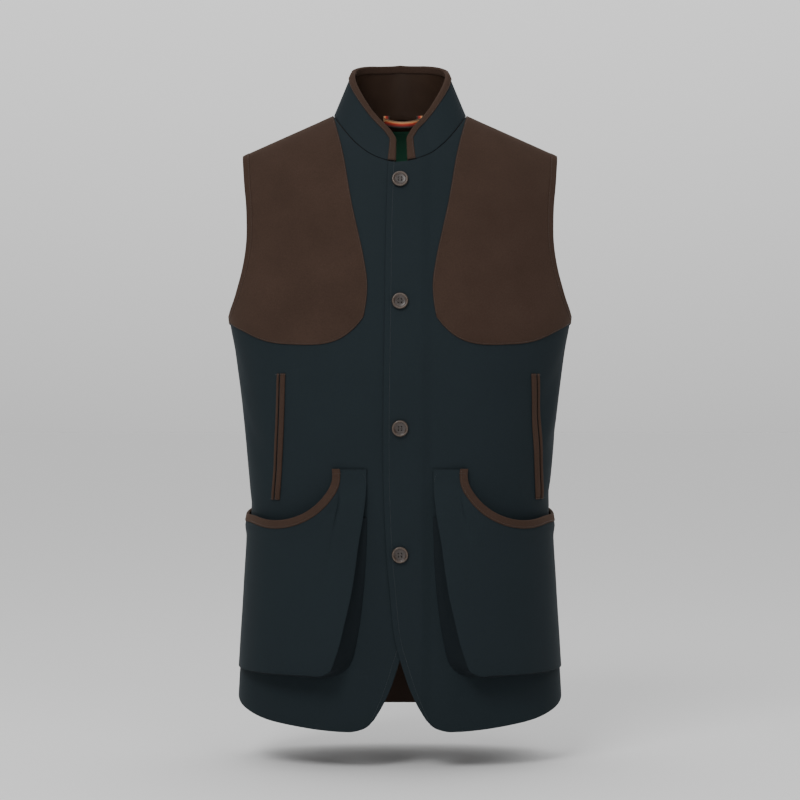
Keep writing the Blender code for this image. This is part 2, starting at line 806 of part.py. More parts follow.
def lap_rise(x):
    """How far the left front stands out over the right one."""
    return LAP_RISE * smooth_step((LAP_RISE_END_X - x) / (LAP_RISE_END_X - LAP_RISE_FULL_X))


def add_fronts(places, cloth):
    """Both fronts. The left one rises over the right where they lap."""
    rise = lap_rise(form(places)[..., 0])
    add_sheet("front_left", lifted(places, rise), lifted(places, rise - FRONT_WALL), cloth)
    flat = np.zeros_like(rise)
    outer = lifted(places, flat)
    inner = lifted(places, flat - FRONT_WALL)
    add_sheet("front_right", outer, inner, cloth, mirror=True)


def whole_back(half):
    """Points of both halves of the back, from the left side seam to the right one."""
    return np.concatenate([half, mirrored(half[:, -2::-1])], axis=1)


def add_back(places, cloth, lining_cloth):
    flat = np.zeros(places.shape[:2])
    outer = whole_back(lifted(places, flat))
    inner = whole_back(lifted(places, flat - BACK_WALL))
    add_sheet("back", outer, inner, cloth, halves=True)
    grid = places[:, LINING_COLUMNS].copy()
    grid[SHOULDER_ROW:, 0] = places[SHOULDER_ROW:, 1]
    flat = np.zeros(grid.shape[:2])
    outer = lifted(grid, flat - BACK_WALL - GAP)
    inner = lifted(grid, flat - BACK_WALL - GAP - LINING_WALL)
    add_sheet("back_lining", whole_back(outer), whole_back(inner), lining_cloth, halves=True)
    return inner


def add_patches(places, suede):
    """Suede over each front's shoulder and chest, from the front's own points moved out."""
    grid = places[SHOULDER_ROW:, STRIP_COLUMNS:-1]
    flat = np.zeros(grid.shape[:2])
    outer = lifted(grid, flat + GAP + PATCH_WALL)
    inner = lifted(grid, flat + GAP)
    for name, mirror in (("shooting_patch_left", False), ("shooting_patch_right", True)):
        add_sheet(name, outer, inner, suede, mirror)


def between(places, shares, wall):
    """A point of the cloth's two faces between places of its grid, and its outward direction."""
    outer = sum(lifted(place) * share for place, share in zip(places, shares))
    inner = sum(lifted(place, -wall) * share for place, share in zip(places, shares))
    normal = sum(outward(place) * share for place, share in zip(places, shares))
    return outer, inner, unit(normal)


def armhole_section(edge, leg, wall, gap=GAP):
    """The armhole binding's section. Its edge and its leg's end are each (places, shares)."""
    pull = 2 * GAP / BINDING_WIDTH
    leg_places = list(leg[0]) + list(edge[0])
    leg_shares = [share * (1 - pull) for share in leg[1]] + [share * pull for share in edge[1]]
    edge_outer, edge_inner, edge_normal = between(edge[0], edge[1], wall)
    leg_outer, leg_inner, leg_normal = between(leg_places, leg_shares, wall)
    return folded_section([edge_outer, leg_outer], [edge_inner, leg_inner], [edge_normal, leg_normal], gap)


def armhole_side(grid, edge, leg, wall):
    """Sections up one side of an armhole: its turn at the underarm, then a section a row."""
    turn = ([grid[SHOULDER_ROW, edge], grid[SHOULDER_ROW + 1, edge]], [0.75, 0.25])
    sections = [armhole_section(turn, ([grid[SHOULDER_ROW, leg]], [1.0]), wall, LOOSE_GAP)]
    for row in range(SHOULDER_ROW + 1, len(grid)):
        gap = LOOSE_GAP if row == SHOULDER_ROW + 1 else GAP
        sections.append(armhole_section(([grid[row, edge]], [1.0]), ([grid[row, leg]], [1.0]), wall, gap))
    return sections


def add_armhole_bindings(front, back, suede):
    """A folded strip round each armhole, up the front edge and down the back one."""
    last = front.shape[1] - 1
    up = armhole_side(front, last, last - 1, FRONT_WALL)
    down = armhole_side(back, 0, 1, BACK_WALL)[::-1]
    seam = [front[SHOULDER_ROW, last], front[SHOULDER_ROW - 1, last]]
    drop = BINDING_WIDTH / (seam[0][1] - seam[1][1])
    low = armhole_section((seam[:1], [1.0]), (seam, [1 - drop, drop]), FRONT_WALL, LOOSE_GAP)
    low[:, 1] = 0.0
    tip = (up[-1] + down[0]) / 2
    stations = [low] + up[:-1] + [tip] + down[1:]
    for name, mirror in (("armhole_binding_left", False), ("armhole_binding_right", True)):
        add_tube(name, stations, suede, ring=True, mirror=mirror, turned_sides=FOLDED_TURNS)


def neck_line(front, back):
    """The panels' neck edges as one line from the collar's left end to its right end.

    Each row holds a point, then its angle round the neck from the centre front.
    """
    front_places = front[-1, : STRIP_COLUMNS + 1].copy()
    front_places[: len(LAP_NECK_DROPS), 1] += LAP_NECK_DROPS
    back_places = back[-1, -BACK_NECK_COLUMNS:]
    raised = lap_rise(form(front_places)[:, 0])
    left = np.concatenate([lifted(front_places, raised), lifted(back_places)])
    right = mirrored(np.concatenate([lifted(front_places), lifted(back_places)]))
    lap = math.asin(FRONT_EDGE[-1][1] / NECK_HALF_WIDTH)
    front_angles = np.linspace(lap, math.pi / 2, STRIP_COLUMNS + 1)
    back_angles = np.linspace(math.pi / 2, math.pi, BACK_NECK_COLUMNS + 1)[1:]
    half_angles = np.concatenate([front_angles, back_angles])
    left = np.column_stack([left, half_angles])
    right = np.column_stack([right, 2 * math.pi - half_angles])
    left = cut_line(left, math.asin(COLLAR_LEFT_END_X / NECK_HALF_WIDTH))
    right_end = 2 * math.pi - math.asin(COLLAR_RIGHT_END_X / NECK_HALF_WIDTH)
    right = cut_line(right[::-1], right_end, keep_low=True)
    return np.concatenate([left, right[1:]])


def cut_line(line, angle, keep_low=False):
    """Cut a line of points at an angle round the neck."""
    cut = [np.interp(angle, line[:, 3], line[:, axis]) for axis in range(4)]
    if keep_low:
        return np.vstack([line[line[:, 3] < angle - 1e-6], cut])
    return np.vstack([cut, line[line[:, 3] > angle + 1e-6]])


def collar_directions(angle):
    """The collar's rising and outward directions at an angle round the neck."""
    folded = np.minimum(angle, 2 * math.pi - angle)
    side = np.where(angle <= math.pi, 1.0, -1.0)
    depth = np.where(folded > math.pi / 2, NECK_BACK_DEPTH, NECK_FRONT_DEPTH)
    plan_x = side * np.sin(folded) / NECK_HALF_WIDTH
    plan = np.stack([plan_x, -np.cos(folded) / depth, 0 * folded], axis=-1)
    plan = plan / np.linalg.norm(plan, axis=-1, keepdims=True)
    lean_at = smooth_curve([row[0] for row in COLLAR_LEANS], [row[1] for row in COLLAR_LEANS])
    lean = np.radians(lean_at(folded / math.pi))[..., None]
    upright_axis = np.array([0.0, 0.0, 1.0])
    rising = upright_axis * np.cos(lean) - plan * np.sin(lean)
    out = plan * np.cos(lean) + upright_axis * np.sin(lean)
    return rising, out


def collar_grid(line):
    """The collar's points and outward directions: rows from seam to edge, columns round the neck."""
    steps = np.linalg.norm(np.diff(line[:, :3], axis=0), axis=1)
    length = np.concatenate([[0.0], np.cumsum(steps)])
    total = length[-1]
    last = len(line) - 1
    left = np.interp(COLLAR_LEFT_END_COLUMNS, range(last + 1), length)
    right = np.interp(last - np.array(COLLAR_RIGHT_END_COLUMNS), range(last + 1), length)
    base = np.concatenate([left, length[3 : last - 2], right[::-1]])
    height = smooth_curve([row[0] for row in COLLAR_HEIGHTS], [row[1] for row in COLLAR_HEIGHTS])
    regular = height(np.minimum(base, total - base))
    ends = len(COLLAR_END_EDGE)
    rows = np.zeros((4, len(base), 2))
    rows[0, :, 0] = base
    rows[2] = np.stack([base, regular - COLLAR_BINDING_WIDTH], axis=-1)
    rows[3] = np.stack([base, regular], axis=-1)
    rows[2, :ends] = COLLAR_END_INSET
    rows[3, :ends] = COLLAR_END_EDGE
    rows[2, -ends:] = [(total - s, h) for s, h in reversed(COLLAR_END_INSET)]
    rows[3, -ends:] = [(total - s, h) for s, h in reversed(COLLAR_END_EDGE)]
    rows[1] = (rows[0] + rows[2]) / 2
    rows[1, :2] = COLLAR_END_MIDDLE
    rows[1, -2:] = [(total - s, h) for s, h in reversed(COLLAR_END_MIDDLE)]
    along = rows[..., 0]
    point = np.stack([np.interp(along, length, line[:, axis]) for axis in range(3)], axis=-1)
    rising, out = collar_directions(np.interp(along, length, line[:, 3]))
    return point + rising * (rows[..., 1:] + COLLAR_SEAM_GAP), out


def add_collar(front, back, cloth, facing_cloth, suede):
    sheet, out = collar_grid(neck_line(front, back))
    facing_out = -COLLAR_WALL - GAP
    facing_in = facing_out - FACING_WALL
    add_sheet("collar_outer", sheet, sheet - out * COLLAR_WALL, cloth)
    add_sheet("collar_facing", sheet + out * facing_out, sheet + out * facing_in, facing_cloth)
    last = sheet.shape[1] - 1
    pairs = [((row, 0), (row, 1)) for row in range(3)]
    pairs += [((3, 0), (2, 1))]
    pairs += [((3, column), (2, column)) for column in range(1, last)]
    pairs += [((3, last), (2, last - 1))]
    pairs += [((row, last), (row, last - 1)) for row in (2, 1, 0)]
    stations = []
    for edge, leg in pairs:
        outer = [sheet[edge], sheet[leg]]
        inner = [sheet[edge] + out[edge] * facing_in, sheet[leg] + out[leg] * facing_in]
        stations.append(folded_section(outer, inner, [out[edge], out[leg]]))
    add_tube("collar_binding", stations, suede, turned_sides=FOLDED_TURNS)


def pocket_face_places():
    """Places under the pocket's face: columns from the inner edge to behind the side seam."""
    rear = 1.0 + POCKET_REAR_COLUMNS / BACK_COLUMNS
    tab_columns = POCKET_TAB_COLUMNS
    wide = WIDE_COLUMNS + POCKET_REAR_COLUMNS - tab_columns
    inner_edge = upright(POCKET_INNER_EDGE, POCKET_INNER_EDGE[0][0], POCKET_INNER_EDGE[-1][0])
    tab_line = upright(POCKET_TAB_LINE, POCKET_TAB_LINE[0][0], POCKET_TAB_LINE[-1][0])
    bottom_left = across(POCKET_FACE_BOTTOM, inner_edge[0, 0], tab_line[0, 0])
    bottom_right = across(POCKET_FACE_BOTTOM, tab_line[0, 0])
    bottom_rear = straight((1.0, -0.7005), (rear, -0.7000))
    bottom_right = np.concatenate([bottom_right, bottom_rear[1:]])
    mouth_girth = [float(girth_at(x, z)) for x, z in POCKET_MOUTH]
    mouth_point = np.array([mouth_girth, [row[1] for row in POCKET_MOUTH]]).T
    mouth_point = np.concatenate([mouth_point, [[rear, POCKET_REAR_TOP_Z]]])
    length = np.concatenate([[0.0], np.cumsum(np.hypot(*np.diff(mouth_point, axis=0).T))])
    at = np.linspace(0, length[-1], 300)
    mouth = np.stack([smooth_curve(length, mouth_point[:, k])(at) for k in range(2)], axis=-1)
    rear_edge = straight((rear, -0.7000), (rear, POCKET_REAR_TOP_Z))
    left = spaced(inner_edge, ROWS_OF_POCKET)
    middle = spaced(tab_line, ROWS_OF_POCKET)
    right = spaced(rear_edge, ROWS_OF_POCKET)
    tab_top = spaced(straight(inner_edge[-1], mouth[0]), tab_columns)
    tab = coons(spaced(bottom_left, tab_columns), tab_top, left, middle)
    rest = coons(spaced(bottom_right, wide), spaced(mouth, wide), middle, right)
    grid = np.concatenate([tab, rest[:, 1:]], axis=1)
    top = form(grid[-1])
    below = form(grid[-2])
    share = BINDING_WIDTH / np.linalg.norm(top - below, axis=1, keepdims=True)
    bound = grid[-1] + (grid[-2] - grid[-1]) * share
    return np.concatenate([grid[:-1], bound[None], grid[-1:]])


def pocket_depth(places):
    """How far the pocket's face stands off the body at each place."""
    rows, columns = places.shape[:2]
    z = places[..., 1]
    share = np.linspace(0, 1, columns)[None, :] * np.ones((rows, 1))
    drop = np.clip((POCKET_DEPTH_TOP_Z - z) / POCKET_DEPTH_DROP, 0, 1) ** POCKET_DEPTH_POWER
    towards_end = np.minimum(share / POCKET_SWELL_END, 1.0) ** POCKET_SWELL_POWER
    swelling = np.cos(math.pi / 2 * towards_end) ** 2
    mouth_z = places[-1:, :, 1]
    gape = np.clip(1 - (mouth_z - z) / POCKET_GAPE_DROP, 0, 1)
    gape = gape * np.sin(math.pi * share**POCKET_GAPE_POWER) * smooth_step((POCKET_SEWN_Z - z) / 0.04)
    pull = smooth_step((share - POCKET_PULL_START) / POCKET_PULL_EASE)
    pull = pull * smooth_step(1 - (mouth_z - z) / POCKET_PULL_DROP)
    gape = gape * (1 - POCKET_PULL * pull)
    bound = smooth_step(1.6 - (mouth_z - z) / (2 * BINDING_WIDTH)) * smooth_step(share * columns / 2)
    return POCKET_DEPTH * drop * swelling + POCKET_GAPE * gape + POCKET_BINDING_ROOM * bound


def thickened(middle, wall):
    """Outer and inner points of a thin strip, from the mean normals of its cells."""
    rows, columns = middle.shape[:2]
    normal = np.zeros_like(middle)
    for row in range(rows - 1):
        for column in range(columns - 1):
            a = middle[row, column]
            b = middle[row, column + 1]
            c = middle[row + 1, column + 1]
            d = middle[row + 1, column]
            cell = np.cross(c - a, d - b)
            cell = cell / max(np.linalg.norm(cell), 1e-12)
            for place in ((row, column), (row, column + 1), (row + 1, column + 1), (row + 1, column)):
                normal[place] += cell
    normal = normal / np.maximum(np.linalg.norm(normal, axis=-1, keepdims=True), 1e-12)
    return middle + normal * wall / 2, middle - normal * wall / 2


def add_pockets(front, back, cloth, suede):
    """Bellows pockets: a face that stands off the body, a gusset round it and a bound mouth."""
    places = pocket_face_places()
    depth = pocket_depth(places) + LOOSE_GAP
    inner = lifted(places, depth)
    outer = lifted(places, depth + POCKET_WALL)
    gusset = gusset_stations(front, back, places, depth)
    binding = mouth_stations(inner, outer)
    for side, mirror in (("left", False), ("right", True)):
        add_sheet("pocket_face_" + side, outer, inner, cloth, mirror)
        add_sheet("pocket_gusset_" + side, gusset[0], gusset[1], cloth, mirror)
        add_tube("pocket_binding_" + side, binding, suede, mirror=mirror, turned_sides=FOLDED_TURNS)


def gusset_stations(front, back, face, depth):
    """The gusset, a wall that sags a little between the face's edge and its seam on the body."""
    rows = ROWS_OF_POCKET
    line_column = STRIP_COLUMNS
    on_body = [front[POCKET_ROW + row, line_column] for row in range(rows - 1, -1, -1)]
    on_face = [(row, 0) for row in range(rows - 1, -1, -1)]
    on_body += [front[POCKET_ROW, line_column + column] for column in range(1, WIDE_COLUMNS + 1)]
    on_body += [back[POCKET_ROW, column] for column in range(1, POCKET_REAR_COLUMNS + 1)]
    on_face += [(0, column) for column in range(1, WIDE_COLUMNS + POCKET_REAR_COLUMNS + 1)]
    strip = []
    for body_place, (row, column) in zip(on_body, on_face):
        room = depth[row, column]
        if room < GUSSET_LEAST_DEPTH:
            continue
        inward_row = min(row + 1, rows - 1)
        inward_column = min(column + 1, face.shape[1] - 1)
        if column == 0 and row > 0:
            inward = face[row, inward_column]
        elif column == 0:
            inward = face[inward_row, inward_column]
        else:
            inward = face[inward_row, column]
        edge = face[row, column]
        span = np.linalg.norm(form(inward) - form(edge))
        hem = edge + (inward - edge) * min(GUSSET_HEM / span, 0.9)
        sag = (inward - edge) * min(GUSSET_SAG / span, 0.9)
        half = GUSSET_WALL / 2
        low = GAP + half
        high = room - GAP - half
        sunk = [
            lifted(edge + (body_place - edge) * share + sag, high + (low - high) * share)
            for share in GUSSET_SHARES
        ]
        strip.append([lifted(hem, high), *sunk, lifted(body_place, low)])
    middle = np.array(strip).transpose(1, 0, 2)
    return thickened(middle, GUSSET_WALL)


def mouth_stations(inner, outer):
    """A folded strip along the scooped mouth, from the sewn corner to the rear edge."""
    stations = []
    for column in range(POCKET_TAB_COLUMNS, inner.shape[1]):
        faces = [[face[-1, column], face[-2, column]] for face in (outer, inner)]
        normals = [unit(faces[0][k] - faces[1][k]) for k in range(2)]
        stations.append(folded_section(faces[0], faces[1], normals))
    return stations


def strip_box(centres, width, low, high):
    """Stations of a flat strip: the four corners of its section at each place on the body."""
    stations = []
    for x, z in centres:
        left = (float(girth_at(x - width / 2, z)), z)
        right = (float(girth_at(x + width / 2, z)), z)
        stations.append([lifted(left, low), lifted(right, low), lifted(right, high), lifted(left, high)])
    return stations


def add_jets(suede):
    """The two lips of each hand pocket, with a closed slit between them."""
    share = np.linspace(0, 1, JET_STATIONS)
    for side, (top, bottom, bow) in JET_LINES.items():
        x = top[0] + (bottom[0] - top[0]) * share - bow * np.sin(math.pi * share)
        z = top[1] + (bottom[1] - top[1]) * share
        lips = (
            ("outer", x + (JET_SLIT + JET_OUTER_WIDTH) / 2, JET_OUTER_WIDTH),
            ("inner", x - (JET_SLIT + JET_INNER_WIDTH) / 2, JET_INNER_WIDTH),
        )
        for lip, centre, width in lips:
            stations = strip_box(zip(centre, z), width, LOOSE_GAP, LOOSE_GAP + JET_WALL)
            add_tube("hand_pocket_" + lip + "_lip_" + side, stations, suede, mirror=side == "right")


def button_mesh(horn):
    """A turned button: flat back, rounded rim, dished face and four holes."""
    r = BUTTON_RADIUS
    h = BUTTON_THICKNESS
    profile = (
        (0.0, 0.0),
        (r * 0.80, 0.0),
        (r, h * 0.45),
        (r * 0.97, h * 0.85),
        (r * 0.88, h),
        (r * 0.72, h * 0.70),
        (0.0, h * 0.60),
    )
    shape = bmesh.new()
    turn = [shape.verts.new((radius, 0.0, level)) for radius, level in profile]
    edges = [shape.edges.new(pair) for pair in zip(turn, turn[1:])]
    bmesh.ops.spin(
        shape,
        geom=turn + edges,
        cent=(0, 0, 0),
        axis=(0, 0, 1),
        angle=2 * math.pi,
        steps=BUTTON_SIDES,
        use_merge=True,
    )
    bmesh.ops.remove_doubles(shape, verts=shape.verts, dist=1e-6)
    bmesh.ops.recalc_face_normals(shape, faces=shape.faces)
    mesh = bpy.data.meshes.new("button_blank")
    shape.to_mesh(mesh)
    shape.free()
    blank = bpy.data.objects.new("button_blank", mesh)
    bpy.context.scene.collection.objects.link(blank)
    blank.hide_render = True
    blank.display_type = "WIRE"
    shape = bmesh.new()
    for across_x in (-1, 1):
        for across_y in (-1, 1):
            place = Matrix.Translation((across_x * HOLE_SPACING, across_y * HOLE_SPACING, h / 2))
            bmesh.ops.create_cone(
                shape,
                cap_ends=True,
                segments=HOLE_SIDES,
                radius1=HOLE_RADIUS,
                radius2=HOLE_RADIUS,
                depth=h * 3,
                matrix=place,
            )
    drill_mesh = bpy.data.meshes.new("button_drill")
    shape.to_mesh(drill_mesh)
    shape.free()
    drill = bpy.data.objects.new("button_drill", drill_mesh)
    bpy.context.scene.collection.objects.link(drill)
    drill.hide_render = True
    drill.display_type = "WIRE"
    cut = blank.modifiers.new("holes", "BOOLEAN")
    cut.operation = "DIFFERENCE"
    cut.object = drill
    bpy.context.view_layer.update()
    graph = bpy.context.evaluated_depsgraph_get()
    finished = bpy.data.meshes.new_from_object(blank.evaluated_get(graph))
    bpy.data.objects.remove(blank, do_unlink=True)
    bpy.data.objects.remove(drill, do_unlink=True)
    finished.materials.clear()
    finished.materials.append(horn)
    finished.shade_smooth()
    finished.set_sharp_from_angle(angle=math.radians(35))
    return finished


def add_buttons(horn):
    """Four buttons on the left front, at the centre line."""
    mesh = button_mesh(horn)
    for index, height in enumerate(BUTTON_HEIGHTS):
        place = np.array([0.0, height])
        normal = outward(place)
        point = form(place) + normal * (LAP_RISE + LOOSE_GAP)
        button = bpy.data.objects.new("button_" + str(index + 1), mesh)
        bpy.context.scene.collection.objects.link(button)
        button.rotation_euler = Vector(normal).to_track_quat("Z", "Y").to_euler()
        button.location = point


def on_lining(lining, x, z):
    """The point of the lining's inner face at this distance from the centre and height."""
    lines = [lining[SHOULDER_ROW:, column] for column in (-1, -2, -3)]
    points = [np.array([np.interp(z, line[:, 2], line[:, axis]) for axis in range(3)]) for line in lines]
    distances = [point[0] for point in points]
    found = np.array([np.interp(abs(x), distances, [point[axis] for point in points]) for axis in range(3)])
    found[0] = x
    return found


def add_neck_trim(lining, label_cloth, tape):
    """The label on the lining, and the hanger loop whose ends are caught on it below the collar."""
    near = lining[SHOULDER_ROW + 8, -2, 0]
    spread = (-LABEL_HALF_WIDTH, -near, 0.0, near, LABEL_HALF_WIDTH)
    sheet = np.array([[on_lining(lining, -x, z) for x in spread] for z in LABEL_ROWS_Z])
    inward = -outward(np.array([2.0, LABEL_ROWS_Z[1]]))
    label_face = sheet + inward * (LOOSE_GAP + LABEL_WALL)
    add_sheet("neck_label", sheet + inward * LOOSE_GAP, label_face, label_cloth)

    stations = []
    for share in np.linspace(-1, 1, LOOP_STATIONS + 1):
        x = LOOP_CENTRE_X + share * LOOP_HALF_LENGTH
        bow = 1 - share**2
        rise = LOOP_END_RISE * (1 - bow)
        low = on_lining(lining, x, LOOP_LOW_Z + rise)
        high = on_lining(lining, x, LOOP_HIGH_Z + rise)
        low[1] -= LOOP_END_STAND + (LOOP_BOTTOM_STAND - LOOP_END_STAND) * bow
        high[1] -= LOOP_END_STAND + (LOOP_TOP_STAND - LOOP_END_STAND) * bow
        up = unit(high - low)
        away = np.array([0.0, -up[2], up[1]]) * LOOP_WALL
        stations.append([low, high, high + away, low + away])
    add_tube("hanger_loop", stations, tape)


def main():
    clear_scene()
    cloth = material("field_cloth", (0.012, 0.020, 0.026), 0.85)
    suede = material("brown_suede", (0.050, 0.030, 0.021), 0.95)
    brown_lining = material("brown_lining", (0.026, 0.015, 0.010), 0.75)
    horn = material("horn", (0.090, 0.062, 0.046), 0.40)
    green = material("label_cloth", (0.004, 0.045, 0.020), 0.70)
    tape = material("striped_tape", (0.45, 0.12, 0.06), 0.70)

    front = front_places()
    back = back_places()
    add_fronts(front, cloth)
    lining = add_back(back, cloth, brown_lining)
    add_patches(front, suede)
    add_armhole_bindings(front, back, suede)
    add_collar(front, back, cloth, brown_lining, suede)
    add_pockets(front, back, cloth, suede)
    add_jets(suede)
    add_buttons(horn)
    add_neck_trim(lining, green, tape)


main()
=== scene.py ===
# %% [markdown]
# # A sleeveless field gilet
#
# A gilet of fine dark cloth with a stand collar, suede over the chest, bound edges, two slit
# hand pockets and two bellows pockets, filled out as if worn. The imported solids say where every
# piece lies. Here each cut and sewn piece is made again as thin cloth, and gets its real finish.
#
# Units are metres. +Z is up, +Y points to the wearer's back, +X to the wearer's left.

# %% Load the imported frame
import math

import bmesh
import bpy
import numpy as np
from mathutils import Matrix, Vector
from mathutils.bvhtree import BVHTree


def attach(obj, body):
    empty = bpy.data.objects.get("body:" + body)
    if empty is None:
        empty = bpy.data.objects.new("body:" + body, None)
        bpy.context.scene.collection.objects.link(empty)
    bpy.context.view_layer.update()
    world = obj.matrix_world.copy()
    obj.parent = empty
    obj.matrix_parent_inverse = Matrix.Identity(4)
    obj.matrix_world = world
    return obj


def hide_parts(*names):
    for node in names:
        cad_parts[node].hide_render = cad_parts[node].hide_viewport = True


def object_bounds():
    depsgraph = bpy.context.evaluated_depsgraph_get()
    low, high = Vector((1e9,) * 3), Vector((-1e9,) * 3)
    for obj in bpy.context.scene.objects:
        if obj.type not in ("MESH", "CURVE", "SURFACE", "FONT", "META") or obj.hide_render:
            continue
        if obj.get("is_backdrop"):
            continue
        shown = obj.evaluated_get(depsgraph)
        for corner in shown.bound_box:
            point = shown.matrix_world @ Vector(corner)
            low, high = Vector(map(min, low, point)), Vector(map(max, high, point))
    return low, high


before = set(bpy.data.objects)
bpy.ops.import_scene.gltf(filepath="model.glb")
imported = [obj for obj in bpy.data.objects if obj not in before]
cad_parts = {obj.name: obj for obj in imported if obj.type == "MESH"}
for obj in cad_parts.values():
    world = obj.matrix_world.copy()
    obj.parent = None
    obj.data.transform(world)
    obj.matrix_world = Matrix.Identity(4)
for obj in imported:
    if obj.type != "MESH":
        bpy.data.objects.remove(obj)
cad_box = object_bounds()
print("solids", len(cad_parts), "in a box of")
for corner in cad_box:
    print([round(value, 4) for value in corner])

# %% [markdown]
# ## The view
#
# The gilet hangs at eye level for a long lens, three metres off, which is how a shop photographs
# clothes. The lens follows from the width that the picture takes in at the gilet's middle.

# %% The camera
CAMERA_DISTANCE = 3.0
CAMERA_X = 0.0
CAMERA_Z = -0.3628
VIEW_WIDTH = 1.0256


def add_object(name, data):
    made = bpy.data.objects.new(name, data)
    bpy.context.scene.collection.objects.link(made)
    return made


lens = bpy.data.cameras.new("long_lens")
lens.lens = lens.sensor_width * CAMERA_DISTANCE / VIEW_WIDTH
camera = add_object("camera", lens)
camera.location = (CAMERA_X, -CAMERA_DISTANCE, CAMERA_Z)
camera.rotation_euler = (math.pi / 2, 0.0, 0.0)
bpy.context.scene.camera = camera
print("lens", round(lens.lens, 1), "mm")

# %% [markdown]
# ## The body under the cloth
#
# A tailor starts from a dress form. Here the form is a rule: each height has a half width and a
# depth in front and behind, and the section between them is a rounded rectangle. The shoulders
# round over to one ridge. Every point of cloth has a place on the form, its girth and its height:
# girth is 0 at the centre front, 1 at the side and 2 at the centre back.

# %% Curves through a few values
def hermite(t, before, after, rise, fall):
    """The value at share t of the way between two knots, with the slopes there."""
    return (
        (2 * t**3 - 3 * t**2 + 1) * before
        + (t**3 - 2 * t**2 + t) * rise
        + (3 * t**2 - 2 * t**3) * after
        + (t**3 - t**2) * fall
    )


def smooth_curve(knots, values):
    """A function that passes smoothly through the values at the rising knots."""
    knots = np.asarray(knots, float)
    values = np.asarray(values, float)
    steps = np.diff(knots)
    slopes = np.diff(values) / steps
    inner = (slopes[:-1] * steps[1:] + slopes[1:] * steps[:-1]) / (steps[:-1] + steps[1:])
    inner = np.where(slopes[:-1] * slopes[1:] < 0, 0.0, inner)
    tangents = np.concatenate([slopes[:1], inner, slopes[-1:]])

    def curve(at):
        at = np.clip(np.asarray(at, float), knots[0], knots[-1])
        index = np.clip(np.searchsorted(knots, at) - 1, 0, len(knots) - 2)
        width = steps[index]
        rise = tangents[index] * width
        fall = tangents[index + 1] * width
        return hermite((at - knots[index]) / width, values[index], values[index + 1], rise, fall)

    return curve


def curve_through(rows, column=1):
    """A smooth curve through one column of a table, whose first column holds the knots."""
    return smooth_curve([row[0] for row in rows], [row[column] for row in rows])


def running_length(points):
    """The length of a line of points up to each of them."""
    steps = np.linalg.norm(np.diff(points, axis=0), axis=1)
    return np.concatenate([[0.0], np.cumsum(steps)])


def smooth_step(value):
    value = np.clip(value, 0.0, 1.0)
    return value * value * (3 - 2 * value)


def unit(vectors):
    return vectors / np.maximum(np.linalg.norm(vectors, axis=-1, keepdims=True), 1e-12)


# %% The form's sections
# Girth at the side, just behind it and at the centre back
SIDE = 1.0
BACK_SIDE = SIDE + 1e-7
CENTRE_BACK = 2.0
NECK_HALF_WIDTH = 0.085
NECK_FRONT_DEPTH = 0.0718
NECK_BACK_DEPTH = 0.065
SHOULDER_SLOPE = 0.45
RIDGE_ROUNDING = 0.02
SHOULDER_TIP_X = 0.2003
UNDERARM_Z = -0.2577
FRONT_SQUARENESS = 2.4
BACK_SQUARENESS = 2.3
FRONT_FULL_Z = -0.33
BACK_FULL_Z = -0.26
FRONT_ROUNDING = 1.25
BACK_ROUNDING = 4.5
# A row for each section: height, half width, front depth and back depth
SECTIONS = (
    (-0.780, 0.2085, 0.1220, 0.1160),
    (-0.700, 0.2042, 0.1205, 0.1120),
    (-0.600, 0.1960, 0.1190, 0.1050),
    (-0.510, 0.1903, 0.1190, 0.1000),
    (-0.430, 0.1957, 0.1220, 0.1050),
    (-0.360, 0.2028, 0.1255, 0.1120),
    (-0.300, 0.2110, 0.1275, 0.1170),
    (-0.258, 0.2182, 0.1280, 0.1180),
    (-0.200, 0.2190, 0.1280, 0.1180),
    (0.060, 0.2190, 0.1280, 0.1180),
)
# Half width, front depth and back depth of the section that girth is measured on, at mid height
GIRTH_SECTION = (0.205, 0.123, 0.113)
GIRTH_ANGLES = 721
half_width, front_depth, back_depth = (curve_through(SECTIONS, column) for column in (1, 2, 3))


def quarter_table(squareness, depth):
    """Girth from 0 at the centre to 1 at the side, and the angle that gives it."""
    angle = np.linspace(0.0, math.pi / 2, GIRTH_ANGLES)
    x = GIRTH_SECTION[0] * np.sin(angle)
    y = depth * np.clip(1 - np.sin(angle) ** squareness, 0, None) ** (1 / squareness)
    length = running_length(np.stack([x, y], axis=-1))
    return length / length[-1], angle


FRONT_GIRTH, FRONT_ANGLE = quarter_table(FRONT_SQUARENESS, GIRTH_SECTION[1])
BACK_GIRTH, BACK_ANGLE = quarter_table(BACK_SQUARENESS, GIRTH_SECTION[2])
print("sections", len(SECTIONS), "from", SECTIONS[0][0], "to", SECTIONS[-1][0])

# %% From a place to a point on the form
def ridge(x):
    """Height of the shoulder line, rounded where its two slopes would meet."""
    rounded = np.sqrt(np.square(x) + RIDGE_ROUNDING**2)
    return SHOULDER_SLOPE * (math.hypot(NECK_HALF_WIDTH, RIDGE_ROUNDING) - rounded)


def fullness(x, z, back):
    """Share of the full depth that the form has reached below the shoulder line."""
    full_z = np.where(back, BACK_FULL_Z, FRONT_FULL_Z)
    rounding = np.where(back, BACK_ROUNDING, FRONT_ROUNDING)
    t = np.clip((ridge(x) - z) / (ridge(x) - full_z), 0.0, 1.0)
    return np.sqrt(np.clip(1 - (1 - t) ** rounding, 0.0, 1.0))


